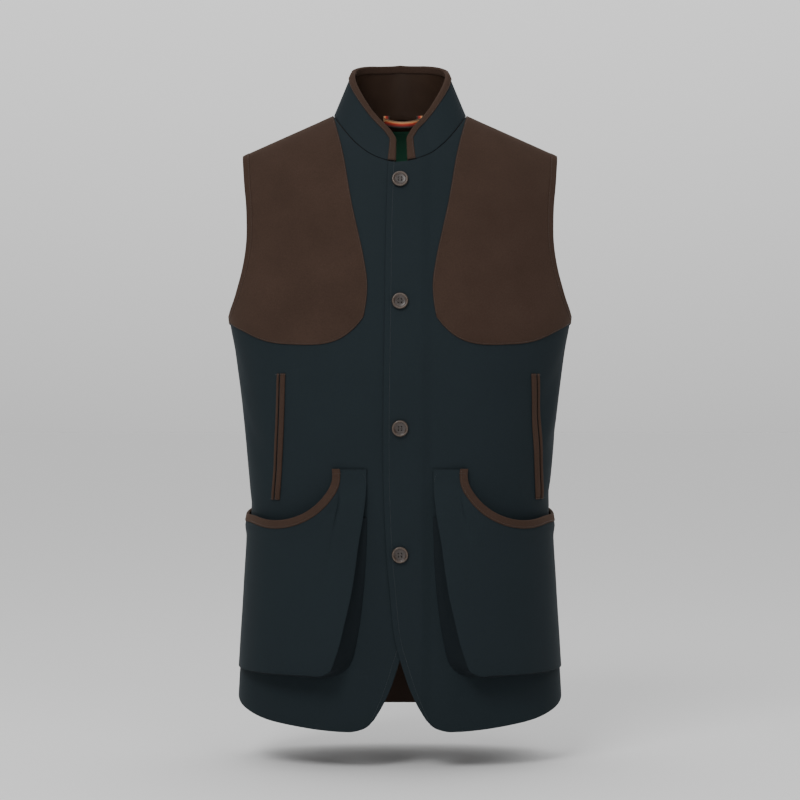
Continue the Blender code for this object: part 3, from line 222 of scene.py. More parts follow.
def form(places):
    """Points of the body form on the wearer's left, for places (girth, z)."""
    places = np.asarray(places, float)
    girth = places[..., 0]
    z = places[..., 1]
    back = girth > SIDE
    front_angle = np.sign(girth) * np.interp(np.abs(girth), FRONT_GIRTH, FRONT_ANGLE)
    back_angle = np.interp(CENTRE_BACK - girth, BACK_GIRTH, BACK_ANGLE)
    sine = np.sin(np.where(back, back_angle, front_angle))
    squareness = np.where(back, BACK_SQUARENESS, FRONT_SQUARENESS)
    depth = np.where(back, back_depth(z), -front_depth(z))
    x = half_width(z) * sine
    narrowing = np.clip(1 - np.abs(sine) ** squareness, 0.0, 1.0) ** (1 / squareness)
    y = depth * narrowing * fullness(x, z, back)
    return np.stack([x, y, z], axis=-1)


def girth_at(x, z, back=False):
    """The girth of a point at this distance from the centre; past the side it is 1."""
    ratio = np.clip(np.asarray(x, float) / half_width(z), -1.0, 1.0)
    angle = np.arcsin(ratio)
    if back:
        return CENTRE_BACK - np.interp(angle, BACK_ANGLE, BACK_GIRTH)
    return np.sign(ratio) * np.interp(np.abs(angle), FRONT_ANGLE, FRONT_GIRTH)


# %% The direction away from the body
NUDGE = 1e-5
NEAR_RIDGE = 1e-4
NEAR_SIDE = 1e-6


def outside(point, back):
    """Zero on the body form and positive outside it."""
    x, y, z = point[..., 0], point[..., 1], point[..., 2]
    squareness = np.where(back, BACK_SQUARENESS, FRONT_SQUARENESS)
    depth = np.where(back, back_depth(z), front_depth(z))
    within = 1 - np.abs(x / half_width(z)) ** squareness
    return np.abs(y / depth) ** squareness - within * fullness(x, z, back) ** squareness


def outward(places):
    """Unit normals of the form. On a seam they lie in the seam's own plane."""
    places = np.asarray(places, float)
    girth = places[..., 0]
    point = form(places)
    back = girth > SIDE
    steps = NUDGE * np.eye(3)
    slope = [outside(point + step, back) - outside(point - step, back) for step in steps]
    slope = np.stack(slope, axis=-1)
    x, z = point[..., 0], point[..., 2]
    on_ridge = ridge(x) - z < NEAR_RIDGE
    on_side = np.abs(girth - SIDE) < NEAR_SIDE
    ridge_slope = SHOULDER_SLOPE * x / np.sqrt(x * x + RIDGE_ROUNDING**2)
    ridge_normal = np.stack([ridge_slope, 0 * x, 1 + 0 * x], axis=-1)
    widening = (half_width(z + NUDGE) - half_width(z - NUDGE)) / (2 * NUDGE)
    side_normal = np.stack([1 + 0 * x, 0 * x, -widening], axis=-1)
    normal = np.where(on_ridge[..., None], ridge_normal, slope)
    normal = np.where((on_side & ~on_ridge)[..., None], side_normal, normal)
    return unit(normal)

# %% [markdown]
# ## Creases
#
# Cloth that is worn never lies quite smooth. Here it is nearly so in front, with soft drags from
# the underarms and at the waist, and falls in long folds behind. Each crease is given one by one:
# where it starts and ends, how deep and how wide it is. A crease moves every layer above it by
# the same amount, so that patch, binding and pocket stay on their cloth.

# %% Crease table and the displacement it gives
# Columns: side (1 the wearer's left), start girth, start z, end girth, end z, depth, width
CREASES = (
    (1, 0.95, -0.290, 0.60, -0.425, -0.0016, 0.015),
    (1, 0.90, -0.335, 0.68, -0.440, 0.0012, 0.014),
    (1, 1.02, -0.470, 0.72, -0.500, -0.0014, 0.011),
    (1, 0.99, -0.395, 0.80, -0.425, -0.0011, 0.010),
    (1, 0.17, -0.330, 0.13, -0.560, -0.0008, 0.013),
    (1, 0.52, -0.640, 0.50, -0.765, 0.0012, 0.020),
    (1, 0.28, -0.700, 0.30, -0.768, -0.0010, 0.015),
    (-1, 0.96, -0.285, 0.64, -0.400, -0.0013, 0.014),
    (-1, 0.93, -0.345, 0.60, -0.465, -0.0015, 0.013),
    (-1, 0.86, -0.315, 0.62, -0.425, 0.0010, 0.013),
    (-1, 1.02, -0.485, 0.76, -0.520, -0.0012, 0.010),
    (-1, 0.20, -0.400, 0.18, -0.600, -0.0007, 0.014),
    (-1, 0.60, -0.650, 0.57, -0.760, 0.0011, 0.022),
    (-1, 0.33, -0.710, 0.36, -0.768, -0.0010, 0.014),
    (1, 1.06, -0.285, 1.42, -0.420, -0.0024, 0.016),
    (1, 1.12, -0.350, 1.36, -0.455, 0.0018, 0.014),
    (1, 1.02, -0.480, 1.46, -0.520, -0.0022, 0.012),
    (1, 1.10, -0.530, 1.34, -0.545, -0.0015, 0.010),
    (1, 1.38, -0.440, 1.34, -0.745, 0.0028, 0.024),
    (1, 1.58, -0.400, 1.57, -0.755, -0.0026, 0.022),
    (1, 1.80, -0.370, 1.83, -0.758, 0.0024, 0.028),
    (1, 1.25, -0.130, 1.46, -0.250, -0.0014, 0.016),
    (-1, 1.05, -0.290, 1.36, -0.400, -0.0021, 0.015),
    (-1, 1.09, -0.330, 1.45, -0.470, 0.0015, 0.016),
    (-1, 1.02, -0.500, 1.38, -0.525, -0.0020, 0.011),
    (-1, 1.16, -0.455, 1.52, -0.490, -0.0016, 0.013),
    (-1, 1.30, -0.470, 1.25, -0.735, 0.0025, 0.022),
    (-1, 1.50, -0.430, 1.52, -0.752, -0.0029, 0.021),
    (-1, 1.72, -0.350, 1.70, -0.757, 0.0022, 0.026),
    (-1, 1.93, -0.420, 1.95, -0.740, -0.0020, 0.022),
    (-1, 1.22, -0.150, 1.40, -0.270, -0.0012, 0.015),
)
CREASE_POINTS = 30
TAPER_END = 0.02
TAPER_POWER = 0.7
# A crease bends by a share of the girth, each its own way
CREASE_BEND = 0.03
BEND_TURNS = 50


def crease_lines():
    """Each crease as points in the world, with the share of its depth at each point."""
    share = np.linspace(0, 1, CREASE_POINTS)
    taper = np.sin(math.pi * np.clip(share, TAPER_END, 1 - TAPER_END)) ** TAPER_POWER
    lines = []
    for side, girth_from, z_from, girth_to, z_to, depth, width in CREASES:
        bend = CREASE_BEND * math.sin(BEND_TURNS * girth_from + side) * np.sin(math.pi * share)
        girth = girth_from + (girth_to - girth_from) * share + bend
        z = z_from + (z_to - z_from) * share
        points = form(np.stack([girth, z], axis=-1)) * (side, 1, 1)
        lines.append((points, taper * depth, width))
    return lines


CREASE_LINES = crease_lines()


def creased(places, side):
    """How far the cloth at these places lies out of the form, in or out of its creases."""
    points = (form(places) * (side, 1, 1)).reshape(-1, 3)
    moved = np.zeros(len(points))
    for line, depths, width in CREASE_LINES:
        near = np.linalg.norm(points[:, None] - line[None], axis=2)
        nearest = near.argmin(axis=1)
        distance = near.min(axis=1)
        moved += depths[nearest] * np.exp(-((distance / width) ** 2))
    return moved.reshape(np.asarray(places).shape[:-1])


print("creases", len(CREASES))

# %% Cloth at a distance from the form
GAP = 0.0003
LOOSE_GAP = 0.0006
SIDE_CLEARANCE = 0.00001


def lifted(places, offset=0.0):
    """Points of the form moved out by the offset, closed at the side seam."""
    places = np.asarray(places, float)
    point = form(places) + outward(places) * np.asarray(offset)[..., None]
    back = places[..., 0] > SIDE
    y = point[..., 1]
    point[..., 1] = np.where(back, np.maximum(y, SIDE_CLEARANCE), np.minimum(y, -SIDE_CLEARANCE))
    return point


def laid(places, offset, side):
    """Points of cloth on one side of the wearer, creased, at this distance from the form."""
    return lifted(places, offset + creased(places, side)) * (side, 1, 1)


def facing_out(places, side):
    return outward(places) * (side, 1, 1)


# %% [markdown]
# ## The pattern pieces
#
# A pattern cutter draws a front from its edges: hem, front edge, neckline, shoulder, armhole and
# side. Each edge here is a line of places, and a grid of places fills the space between four of
# them, as threads fill a loom. The pocket and the suede patch take their edges from the same
# grid, so they fit the cloth under them.

# %% Lines of places
DENSE = 200
VERY_DENSE = 300


def place_at(x, z, back=False):
    """The place at this distance from the centre and height."""
    return float(girth_at(x, z, back)), z


def upright(rows, low, high):
    """Dense places along a line given as (height, distance from centre) rows."""
    z = np.linspace(low, high, DENSE)
    return np.stack([girth_at(curve_through(rows)(z), z), z], axis=-1)


def across(rows, start, stop=SIDE):
    """Dense places along a line given as (distance from centre, height) rows."""
    at = np.linspace(start, stop, DENSE)
    return np.stack([at, curve_through([place_at(*row) for row in rows])(at)], axis=-1)


def smooth_line(places):
    """Dense places on a smooth line through a few of them."""
    length = running_length(places)
    at = np.linspace(0, length[-1], VERY_DENSE)
    return np.stack([smooth_curve(length, places[:, k])(at) for k in range(2)], axis=-1)


def straight(start, stop, count=DENSE):
    start = np.asarray(start, float)
    stop = np.asarray(stop, float)
    return start + (stop - start) * np.linspace(0, 1, count)[:, None]


def spaced(dense, cells, crowding=1.0, last=None):
    """Even places along a dense line, crowded to its end or with a last cell of this length."""
    length = running_length(form(dense))
    share = 1 - (1 - np.linspace(0, 1, cells + 1)) ** crowding
    wanted = share * length[-1]
    if last is not None:
        wanted[:-1] = np.linspace(0, length[-1] - last, cells)
    return np.stack([np.interp(wanted, length, dense[:, k]) for k in range(2)], axis=-1)


def coons(bottom, top, left, right):
    """Places that fill the patch between four edges, as rows from bottom to top."""
    u = np.linspace(0, 1, len(bottom))[None, :, None]
    v = np.linspace(0, 1, len(left))[:, None, None]
    rising = (1 - v) * bottom[None] + v * top[None]
    crossing = (1 - u) * left[:, None] + u * right[:, None]
    low_corners = (1 - u) * bottom[0] + u * bottom[-1]
    high_corners = (1 - u) * top[0] + u * top[-1]
    return rising + crossing - (1 - v) * low_corners - v * high_corners


def stacked(bands):
    """Bands of rows joined, each of which starts on the last row of the one below."""
    return np.concatenate([bands[0]] + [band[1:] for band in bands[1:]])


# %% The lines of the front
LAP = 0.0187
HEM_SIDE_Z = -0.7355
POCKET_FOOT_Z = -0.7045
POCKET_TOP_Z = -0.447
PATCH_FOOT_Z = -0.2605
# Height and distance past the centre
FRONT_EDGE = (
    (-0.7570, 0.0322), (-0.7495, 0.0255), (-0.7347, 0.0180), (-0.7000, 0.0066), (-0.6867, 0.0006),
    (-0.6580, -0.0068), (-0.6090, -0.0120), (-0.5600, -0.0165), (-0.5200, -LAP), (-0.2400, -LAP),
    (-0.1360, -0.0172), (-0.0637, -0.0148),
)
# Height and distance from the centre: the pocket's gusset, and the patch's inner edge above it
POCKET_LINE = (
    (-0.6830, 0.0590), (-0.6580, 0.0532), (-0.6300, 0.0487), (-0.5845, 0.0440), (-0.5450, 0.0417),
    (-0.5000, 0.0407), (POCKET_TOP_Z, 0.0407),
)
MIDDLE_LINE = ((POCKET_TOP_Z, 0.0407), (-0.3500, 0.0412), (PATCH_FOOT_Z, 0.0450))
PATCH_LINE = (
    (PATCH_FOOT_Z, 0.0450), (-0.2400, 0.0402), (-0.2120, 0.0408), (-0.1630, 0.0500),
    (-0.1150, 0.0605), (-0.0500, 0.0720), (0.0000, 0.0850),
)
# The front armhole, from above the underarm up
FRONT_ARMHOLE = (
    (-0.2490, 0.2140), (-0.2300, 0.2066), (-0.2110, 0.2010), (-0.1930, 0.1966), (-0.1740, 0.1936),
    (-0.1550, 0.1924), (-0.1360, 0.1927), (-0.1170, 0.1937), (-0.0960, 0.1961), (-0.0765, 0.1979),
)
HEM_CORNER = (0.0322, -0.7570)
# Distance from the centre and height
FRONT_HEM = (
    (0.0400, -0.7650), (0.0520, -0.7703), (0.0670, -0.7722), (0.0830, -0.7714), (0.1040, -0.7698),
    (0.1210, -0.7678), (0.1456, -0.7644), (0.1645, -0.7612), (0.1775, -0.7577), (0.1935, -0.7512),
    (SIDE, HEM_SIDE_Z),
)
# Where the line up to the pocket's gusset leaves the hem
HEM_LINE_SPOT = (0.0620, -0.7716)
POCKET_BOTTOM = (
    (0.0590, -0.6830), (0.0710, -0.6990), (0.0900, POCKET_FOOT_Z), (0.1400, POCKET_FOOT_Z),
    (SIDE, POCKET_FOOT_Z),
)
POCKET_BOTTOM_AT_EDGE = -0.690
PATCH_BOTTOM = (
    (0.0450, PATCH_FOOT_Z), (0.0575, -0.2755), (0.0760, -0.2885), (0.0960, -0.2940),
    (0.1300, -0.2942), (0.1690, -0.2890), (0.1980, -0.2755), (SIDE, UNDERARM_Z),
)
print("front edge spots", len(FRONT_EDGE), "hem spots", len(FRONT_HEM))

# %% The lines of the back
BACK_ARMHOLE = (
    (-0.2480, 0.2145), (-0.2300, 0.2090), (-0.2050, 0.2030), (-0.1700, 0.1985), (-0.1300, 0.1975),
    (-0.0900, 0.1985),
)
# Girth and height
BACK_HEM = (
    (1.00, HEM_SIDE_Z), (1.15, -0.7490), (1.40, -0.7600), (1.70, -0.7645), (2.00, -0.7648),
)
BACK_CROSS = ((1.00, UNDERARM_Z), (1.12, -0.2740), (1.35, -0.2850), (2.00, -0.2850))
print("back armhole spots", len(BACK_ARMHOLE), "hem spots", len(BACK_HEM))


def across_back(rows):
    at = np.linspace(BACK_SIDE, CENTRE_BACK, DENSE)
    return np.stack([at, curve_through(rows)(at)], axis=-1)


def neck_places(angle, back):
    """Places on the neckline, an ellipse in plan, at these angles from the centre."""
    x = NECK_HALF_WIDTH * np.sin(angle)
    plan_depth = NECK_BACK_DEPTH if back else NECK_FRONT_DEPTH
    full_depth = back_depth(0.0) if back else front_depth(0.0)
    squareness = BACK_SQUARENESS if back else FRONT_SQUARENESS
    rounding = BACK_ROUNDING if back else FRONT_ROUNDING
    full_z = BACK_FULL_Z if back else FRONT_FULL_Z
    narrowing = (1 - np.abs(x / half_width(0.0)) ** squareness) ** (1 / squareness)
    share = plan_depth * np.cos(angle) / (full_depth * narrowing)
    t = 1 - (1 - share**2) ** (1 / rounding)
    z = ridge(x) - t * (ridge(x) - full_z)
    return np.stack([girth_at(x, z, back), z], axis=-1)


def shoulder_places(back=False):
    """Dense places along the shoulder line, from the neck to the tip."""
    x = np.linspace(NECK_HALF_WIDTH, SHOULDER_TIP_X, DENSE)
    return np.stack([girth_at(x, ridge(x), back), ridge(x)], axis=-1)


def armhole(rows, back):
    """Dense places up an armhole, from the underarm on the side seam to the shoulder tip."""
    rows = rows + ((float(ridge(SHOULDER_TIP_X)), SHOULDER_TIP_X),)
    start = (BACK_SIDE if back else SIDE, UNDERARM_Z)
    return smooth_line(np.array([start] + [place_at(x, z, back) for z, x in rows]))


# %% The grid of a front
STRIP_COLUMNS = 8
WIDE_COLUMNS = 13
ROWS_BELOW_POCKET = 2
ROWS_OF_POCKET = 8
ROWS_ABOVE_POCKET = 5
ROWS_OF_SHOULDER = 10
TOP_CROWDING = 1.3
BINDING_WIDTH = 0.009
LAP_NECK_DROPS = (0.0024, 0.0012)
BAND_ROWS = (ROWS_BELOW_POCKET, ROWS_OF_POCKET, ROWS_ABOVE_POCKET, ROWS_OF_SHOULDER)
SHOULDER_ROW = sum(BAND_ROWS[:3])
SIDE_LEVELS = (HEM_SIDE_Z, POCKET_FOOT_Z, POCKET_TOP_Z, UNDERARM_Z)
INSET_SAMPLES = 80


def straight_up(girth, levels):
    """Lines of places straight up at this girth, one for each band between the levels."""
    spans = zip(levels, levels[1:], BAND_ROWS)
    return [spaced(straight((girth, low), (girth, high)), rows) for low, high, rows in spans]


def inset_column(grid, edge_column, column, beyond_column, edge_line):
    """Move a column of places to where it lies a binding's width from the whole armhole edge."""
    edge = form(edge_line)
    for row in range(SHOULDER_ROW, len(grid)):
        start = grid[row, edge_column]
        dense = np.linspace(start, grid[row, beyond_column], INSET_SAMPLES)
        away = np.linalg.norm(form(dense)[:, None] - edge[None], axis=2).min(axis=1)
        share = np.interp(BINDING_WIDTH, away, np.linspace(0, 1, INSET_SAMPLES))
        grid[row, column] = start + (grid[row, beyond_column] - start) * share


def front_places():
    """The left front's grid of places: rows from hem to shoulder, columns from edge to side."""
    lap_angle = math.asin(FRONT_EDGE[-1][1] / NECK_HALF_WIDTH)
    neck = neck_places(np.linspace(lap_angle, math.pi / 2, STRIP_COLUMNS + 1), back=False)
    neck[: len(LAP_NECK_DROPS), 1] -= LAP_NECK_DROPS
    line_foot = place_at(*POCKET_BOTTOM[0])
    line_head = place_at(*PATCH_BOTTOM[0])
    levels = (HEM_CORNER[1], POCKET_BOTTOM_AT_EDGE, POCKET_TOP_Z, PATCH_FOOT_Z, neck[0, 1])
    crowding = (1.0, 1.0, 1.0, TOP_CROWDING)
    spans = zip(levels, levels[1:], BAND_ROWS, crowding)
    edge = [spaced(upright(FRONT_EDGE, low, high), rows, crowd) for low, high, rows, crowd in spans]
    hem_rows = (HEM_CORNER,) + FRONT_HEM
    hem_line_at = place_at(*HEM_LINE_SPOT)[0]
    hem_low = across(hem_rows, place_at(*HEM_CORNER)[0], hem_line_at)
    hem_high = across(hem_rows, hem_line_at)
    line = [
        spaced(straight(hem_high[0], line_foot), ROWS_BELOW_POCKET),
        spaced(upright(POCKET_LINE, POCKET_LINE[0][0], POCKET_TOP_Z), ROWS_OF_POCKET),
        spaced(upright(MIDDLE_LINE, POCKET_TOP_Z, PATCH_FOOT_Z), ROWS_ABOVE_POCKET),
        spaced(upright(PATCH_LINE, PATCH_FOOT_Z, 0.0), ROWS_OF_SHOULDER, TOP_CROWDING),
    ]
    armhole_line = armhole(FRONT_ARMHOLE, back=False)
    side = straight_up(SIDE, SIDE_LEVELS) + [spaced(armhole_line, ROWS_OF_SHOULDER)]
    narrow_lines = (
        hem_low, straight(edge[1][0], line[1][0]), straight(edge[2][0], line[2][0]),
        straight(edge[3][0], line_head),
    )
    narrow_levels = [spaced(dense, STRIP_COLUMNS) for dense in narrow_lines] + [neck]
    wide_levels = [
        spaced(hem_high, WIDE_COLUMNS),
        spaced(across(POCKET_BOTTOM, line_foot[0]), WIDE_COLUMNS),
        spaced(straight(line[2][0], (SIDE, POCKET_TOP_Z)), WIDE_COLUMNS),
        spaced(across(PATCH_BOTTOM, line_head[0]), WIDE_COLUMNS, last=BINDING_WIDTH),
        spaced(shoulder_places(), WIDE_COLUMNS, last=BINDING_WIDTH),
    ]
    bands = []
    for k in range(len(BAND_ROWS)):
        narrow = coons(*narrow_levels[k : k + 2], edge[k], line[k])
        wide = coons(*wide_levels[k : k + 2], line[k], side[k])
        bands.append(np.concatenate([narrow, wide[:, 1:]], axis=1))
    grid = stacked(bands)
    last = STRIP_COLUMNS + WIDE_COLUMNS
    inset_column(grid, last, last - 1, last - 2, armhole_line)
    return grid


# %% The grid of the back
BACK_COLUMNS = 13
BACK_NECK_COLUMNS = 6


def back_places():
    """The left half of the back: rows from hem to shoulder, columns from side to centre."""
    half_side = BACK_COLUMNS - BACK_NECK_COLUMNS
    neck = neck_places(np.linspace(math.pi / 2, 0.0, BACK_NECK_COLUMNS + 1), back=True)
    shoulder = spaced(shoulder_places(back=True), half_side, last=BINDING_WIDTH)[::-1]
    levels = [spaced(across_back(BACK_HEM), BACK_COLUMNS)]
    for z in (POCKET_FOOT_Z, POCKET_TOP_Z):
        levels.append(spaced(straight((BACK_SIDE, z), (CENTRE_BACK, z)), BACK_COLUMNS))
    levels.append(spaced(across_back(BACK_CROSS)[::-1], BACK_COLUMNS, last=BINDING_WIDTH)[::-1])
    levels.append(np.concatenate([shoulder, neck[1:]]))
    armhole_line = armhole(BACK_ARMHOLE, back=True)
    side = straight_up(BACK_SIDE, SIDE_LEVELS) + [spaced(armhole_line, ROWS_OF_SHOULDER)]
    cross_z = BACK_CROSS[-1][1]
    centre = straight_up(CENTRE_BACK, (BACK_HEM[-1][1], POCKET_FOOT_Z, POCKET_TOP_Z, cross_z))
    top_line = straight((CENTRE_BACK, cross_z), neck[-1])
    centre.append(spaced(top_line, ROWS_OF_SHOULDER, TOP_CROWDING))
    bands = range(len(BAND_ROWS))
    grid = stacked([coons(*levels[k : k + 2], side[k], centre[k]) for k in bands])
    inset_column(grid, 0, 1, 2, armhole_line)
    return grid


# %% Finer grids
FINE = 5


def finer_line(values, times):
    """Values along the first axis with more between them, on a smooth curve through them."""
    count = len(values)
    slopes = np.empty_like(values)
    slopes[0] = values[1] - values[0]
    slopes[-1] = values[-1] - values[-2]
    if count > 2:
        slopes[1:-1] = (values[2:] - values[:-2]) / 2
        slopes[0] = 2 * slopes[0] - slopes[1]
        slopes[-1] = 2 * slopes[-1] - slopes[-2]
    at = np.linspace(0, count - 1, (count - 1) * times + 1)
    index = np.minimum(at.astype(int), count - 2)
    t = (at - index).reshape((-1,) + (1,) * (values.ndim - 1))
    return hermite(t, values[index], values[index + 1], slopes[index], slopes[index + 1])


def finer(grid, times=FINE, row_corner=None, column_corner=None):
    """A grid with each cell split, smooth but for a row or column where its lines turn a corner."""
    for corner in (row_corner, column_corner):
        last = len(grid) - 1
        cuts = [0, last] if corner is None else [0, corner, last]
        parts = [finer_line(grid[low : high + 1], times) for low, high in zip(cuts, cuts[1:])]
        grid = np.moveaxis(stacked(parts), 1, 0)
    return grid


FRONT = finer(front_places(), row_corner=SHOULDER_ROW, column_corner=STRIP_COLUMNS)
FRONT[..., 0] = np.minimum(FRONT[..., 0], SIDE)
BACK = finer(back_places(), row_corner=SHOULDER_ROW)
BACK[..., 0] = np.clip(BACK[..., 0], BACK_SIDE, CENTRE_BACK)
FINE_SHOULDER_ROW = SHOULDER_ROW * FINE
FINE_STRIP = STRIP_COLUMNS * FINE
FRONT[-1, FINE_STRIP:, 1] = ridge(form(FRONT[-1, FINE_STRIP:])[:, 0])
shoulder_columns = (BACK_COLUMNS - BACK_NECK_COLUMNS) * FINE + 1
BACK[-1, :shoulder_columns, 1] = ridge(form(BACK[-1, :shoulder_columns])[:, 0])
print("front grid", FRONT.shape[:2], "half back grid", BACK.shape[:2])

# %% [markdown]
# ## From grids to cloth
#
# A sheet of cloth has two faces and a thickness. Both faces are grids of points, and the edge
# between them is rounded, as a turned and pressed edge is. Solidify could give the thickness,
# but two grids keep each layer clear of the next. Each sheet also carries a flat chart in
# metres, so that weave runs with the cloth and not through it.

# %% One mesh object from points, faces and a chart
def add_piece(name, points, faces, chart, finish):
    mesh = bpy.data.meshes.new(name)
    mesh.from_pydata(np.asarray(points).tolist(), [], faces)
    layer = mesh.uv_layers.new(name="cut")
    corners = np.empty(len(mesh.loops), dtype=np.int32)
    mesh.loops.foreach_get("vertex_index", corners)
    layer.data.foreach_set("uv", np.asarray(chart, dtype=np.float32)[corners].ravel())
    mesh.materials.append(finish)
    mesh.shade_smooth()
    return add_object("sewn_" + name, mesh)


def close_outward(piece):
    """Make all the faces of a closed mesh point outwards."""
    shape = bmesh.new()
    shape.from_mesh(piece.data)
    bmesh.ops.recalc_face_normals(shape, faces=shape.faces)
    shape.to_mesh(piece.data)
    shape.free()


def flat_chart(points):
    """The chart of a grid of points: length along its middle row and up its middle column."""
    across_steps = np.linalg.norm(np.diff(points, axis=1), axis=2)
    up_steps = np.linalg.norm(np.diff(points, axis=0), axis=2)
    along = np.concatenate([np.zeros((len(points), 1)), np.cumsum(across_steps, axis=1)], axis=1)
    up = np.concatenate([np.zeros((1, points.shape[1])), np.cumsum(up_steps, axis=0)], axis=0)
    return np.stack([along, up], axis=-1)

# %% A sheet with two faces and a rounded rim
RIM_ANGLES = (math.radians(45), math.radians(90), math.radians(135))


def rim_of(rows, columns):
    """Cells round the rim of a grid, each with the one or two steps that lead inward from it."""
    rim = [((0, c), [(1, 0)]) for c in range(columns)]
    rim += [((r, columns - 1), [(0, -1)]) for r in range(1, rows)]
    rim += [((rows - 1, c), [(-1, 0)]) for c in range(columns - 2, -1, -1)]
    rim += [((r, 0), [(0, 1)]) for r in range(rows - 2, 0, -1)]
    for (row, column), steps in rim:
        if row in (0, rows - 1) and column in (0, columns - 1):
            steps[:] = [(1 if row == 0 else -1, 0), (0, 1 if column == 0 else -1)]
    return rim


def add_sheet(name, outer, inner, finish, turned=False, chart=None):
    """Cloth between an outer and an inner grid. turned says that its faces are seen mirrored."""
    rows, columns = outer.shape[:2]
    count = rows * columns
    chart = flat_chart(outer) if chart is None else chart
    outer_points = outer.copy()
    inner_points = inner.copy()
    levels = len(RIM_ANGLES)
    rim = rim_of(rows, columns)
    arcs = []
    ladders = []
    for (row, column), steps in rim:
        top = outer[row, column]
        low = inner[row, column]
        middle = (top + low) / 2
        radius = np.linalg.norm(top - low) / 2
        inward = sum(unit(outer[row + down, column + right] - top) for down, right in steps)
        inward = inward * radius
        centre = middle + inward
        outer_points[row, column] = top + inward
        inner_points[row, column] = low + inward
        own = row * columns + column
        first_arc = 2 * count + len(arcs)
        ladders.append([own] + [first_arc + k for k in range(levels)] + [own + count])
        for angle in RIM_ANGLES:
            arcs.append(centre + (top - middle) * math.cos(angle) - inward * math.sin(angle))
    points = np.concatenate([outer_points.reshape(-1, 3), inner_points.reshape(-1, 3), arcs])
    face = []
    for row in range(rows - 1):
        for column in range(columns - 1):
            a = row * columns + column
            d = a + columns
            face.append((a, a + 1, d + 1, d))
            face.append((count + d, count + d + 1, count + a + 1, count + a))
    for here, there in zip(ladders, ladders[1:] + ladders[:1]):
        for k in range(levels + 1):
            face.append((there[k], here[k], here[k + 1], there[k + 1]))
    if turned:
        face = [tuple(reversed(corners)) for corners in face]
    flat = chart.reshape(-1, 2)
    arc_chart = np.repeat([chart[cell] for cell, steps in rim], levels, axis=0)
    return add_piece(name, points, face, np.concatenate([flat, flat, arc_chart]), finish)


pieces = {}


def ride_and_replace(piece):
    """The piece rides on the gilet's one body and stands for the solid of its own name."""
    node = piece.name.removeprefix("sewn_")
    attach(piece, "root")
    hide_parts(node)
    pieces[node] = piece


def triangles(mesh):
    return sum(len(face.vertices) - 2 for face in mesh.polygons)


def as_shown(thing):
    """The mesh of an object with its modifiers applied."""
    bpy.context.view_layer.update()
    graph = bpy.context.evaluated_depsgraph_get()
    return bpy.data.meshes.new_from_object(thing.evaluated_get(graph))

# %% [markdown]
# ## Building finishes
#
# Each finish is a small tree of nodes. One helper adds a node with its settings and its links.
# Colours are written as the hex values that a designer reads off a screen, and turned linear
# once, because light adds up in linear values.

# %% Helpers for node trees
def linear(hex_colour):
    """The linear colour of a screen's hex value."""
    values = [int(hex_colour[k : k + 2], 16) / 255 for k in (1, 3, 5)]
    values = [v / 12.92 if v <= 0.04045 else ((v + 0.055) / 1.055) ** 2.4 for v in values]
    return (*values, 1.0)


def add_node(tree, kind, inputs=None, **settings):
    """A node with its settings, its input values and its links."""
    made = tree.nodes.new(kind)
    for name, value in settings.items():
        setattr(made, name, value)
    for name, value in (inputs or {}).items():
        socket = made.inputs[name]
        if isinstance(value, bpy.types.NodeSocket):
            tree.links.new(value, socket)
        else:
            socket.default_value = value
    return made


def new_finish(name, **values):
    """A material, its tree and its shader with these values, by input name with underscores."""
    finish = bpy.data.materials.new(name)
    finish.use_nodes = True
    shader = finish.node_tree.nodes["Principled BSDF"]
    for key, value in values.items():
        shader.inputs[key.replace("_", " ")].default_value = value
    return finish, finish.node_tree, shader


def math_of(tree, operation, *values):
    """One sum on these values."""
    return add_node(tree, "ShaderNodeMath", dict(enumerate(values)), operation=operation).outputs[0]


def ranged(tree, value, low, high, start=0.0, stop=1.0):
    """The value, carried from its own range to the one from low to high."""
    inputs = {"Value": value, "From Min": start, "From Max": stop, "To Min": low, "To Max": high}
    return add_node(tree, "ShaderNodeMapRange", inputs).outputs[0]


def object_place(tree):
    return add_node(tree, "ShaderNodeTexCoord").outputs["Object"]


def cut_chart(tree):
    return add_node(tree, "ShaderNodeUVMap", uv_map="cut").outputs[0]


def noise(tree, place, scale, detail, roughness=0.5, distortion=0.0):
    inputs = {"Vector": place, "Scale": scale, "Detail": detail, "Roughness": roughness}
    inputs["Distortion"] = distortion
    return add_node(tree, "ShaderNodeTexNoise", inputs).outputs[0]


def mixed(tree, share, first, second):
    """A colour between two hex values."""
    inputs = {"Factor": share, "A": linear(first), "B": linear(second)}
    return add_node(tree, "ShaderNodeMix", inputs, data_type="RGBA").outputs[2]


def colour_ramp(tree, share, stops, interpolation="LINEAR"):
    """The colour at a share of the way along these stops."""
    node = tree.nodes.new("ShaderNodeValToRGB")
    ramp = node.color_ramp
    ramp.interpolation = interpolation
    for index, (position, colour) in enumerate(stops):
        stop = ramp.elements[index] if index < 2 else ramp.elements.new(position)
        stop.position = position
        stop.color = linear(colour)
    tree.links.new(share, node.inputs[0])
    return node.outputs[0]


def paint(tree, shader, colour, strength):
    """Give the shader this colour, made darker or paler by the strength."""
    inputs = {0: colour, "Scale": strength}
    scaled = add_node(tree, "ShaderNodeVectorMath", inputs, operation="SCALE")
    tree.links.new(scaled.outputs[0], shader.inputs["Base Color"])


def emboss(tree, shader, height, strength, distance):
    """Give the shader a fine relief."""
    inputs = {"Height": height, "Strength": strength, "Distance": distance}
    relief = add_node(tree, "ShaderNodeBump", inputs)
    tree.links.new(relief.outputs[0], shader.inputs["Normal"])
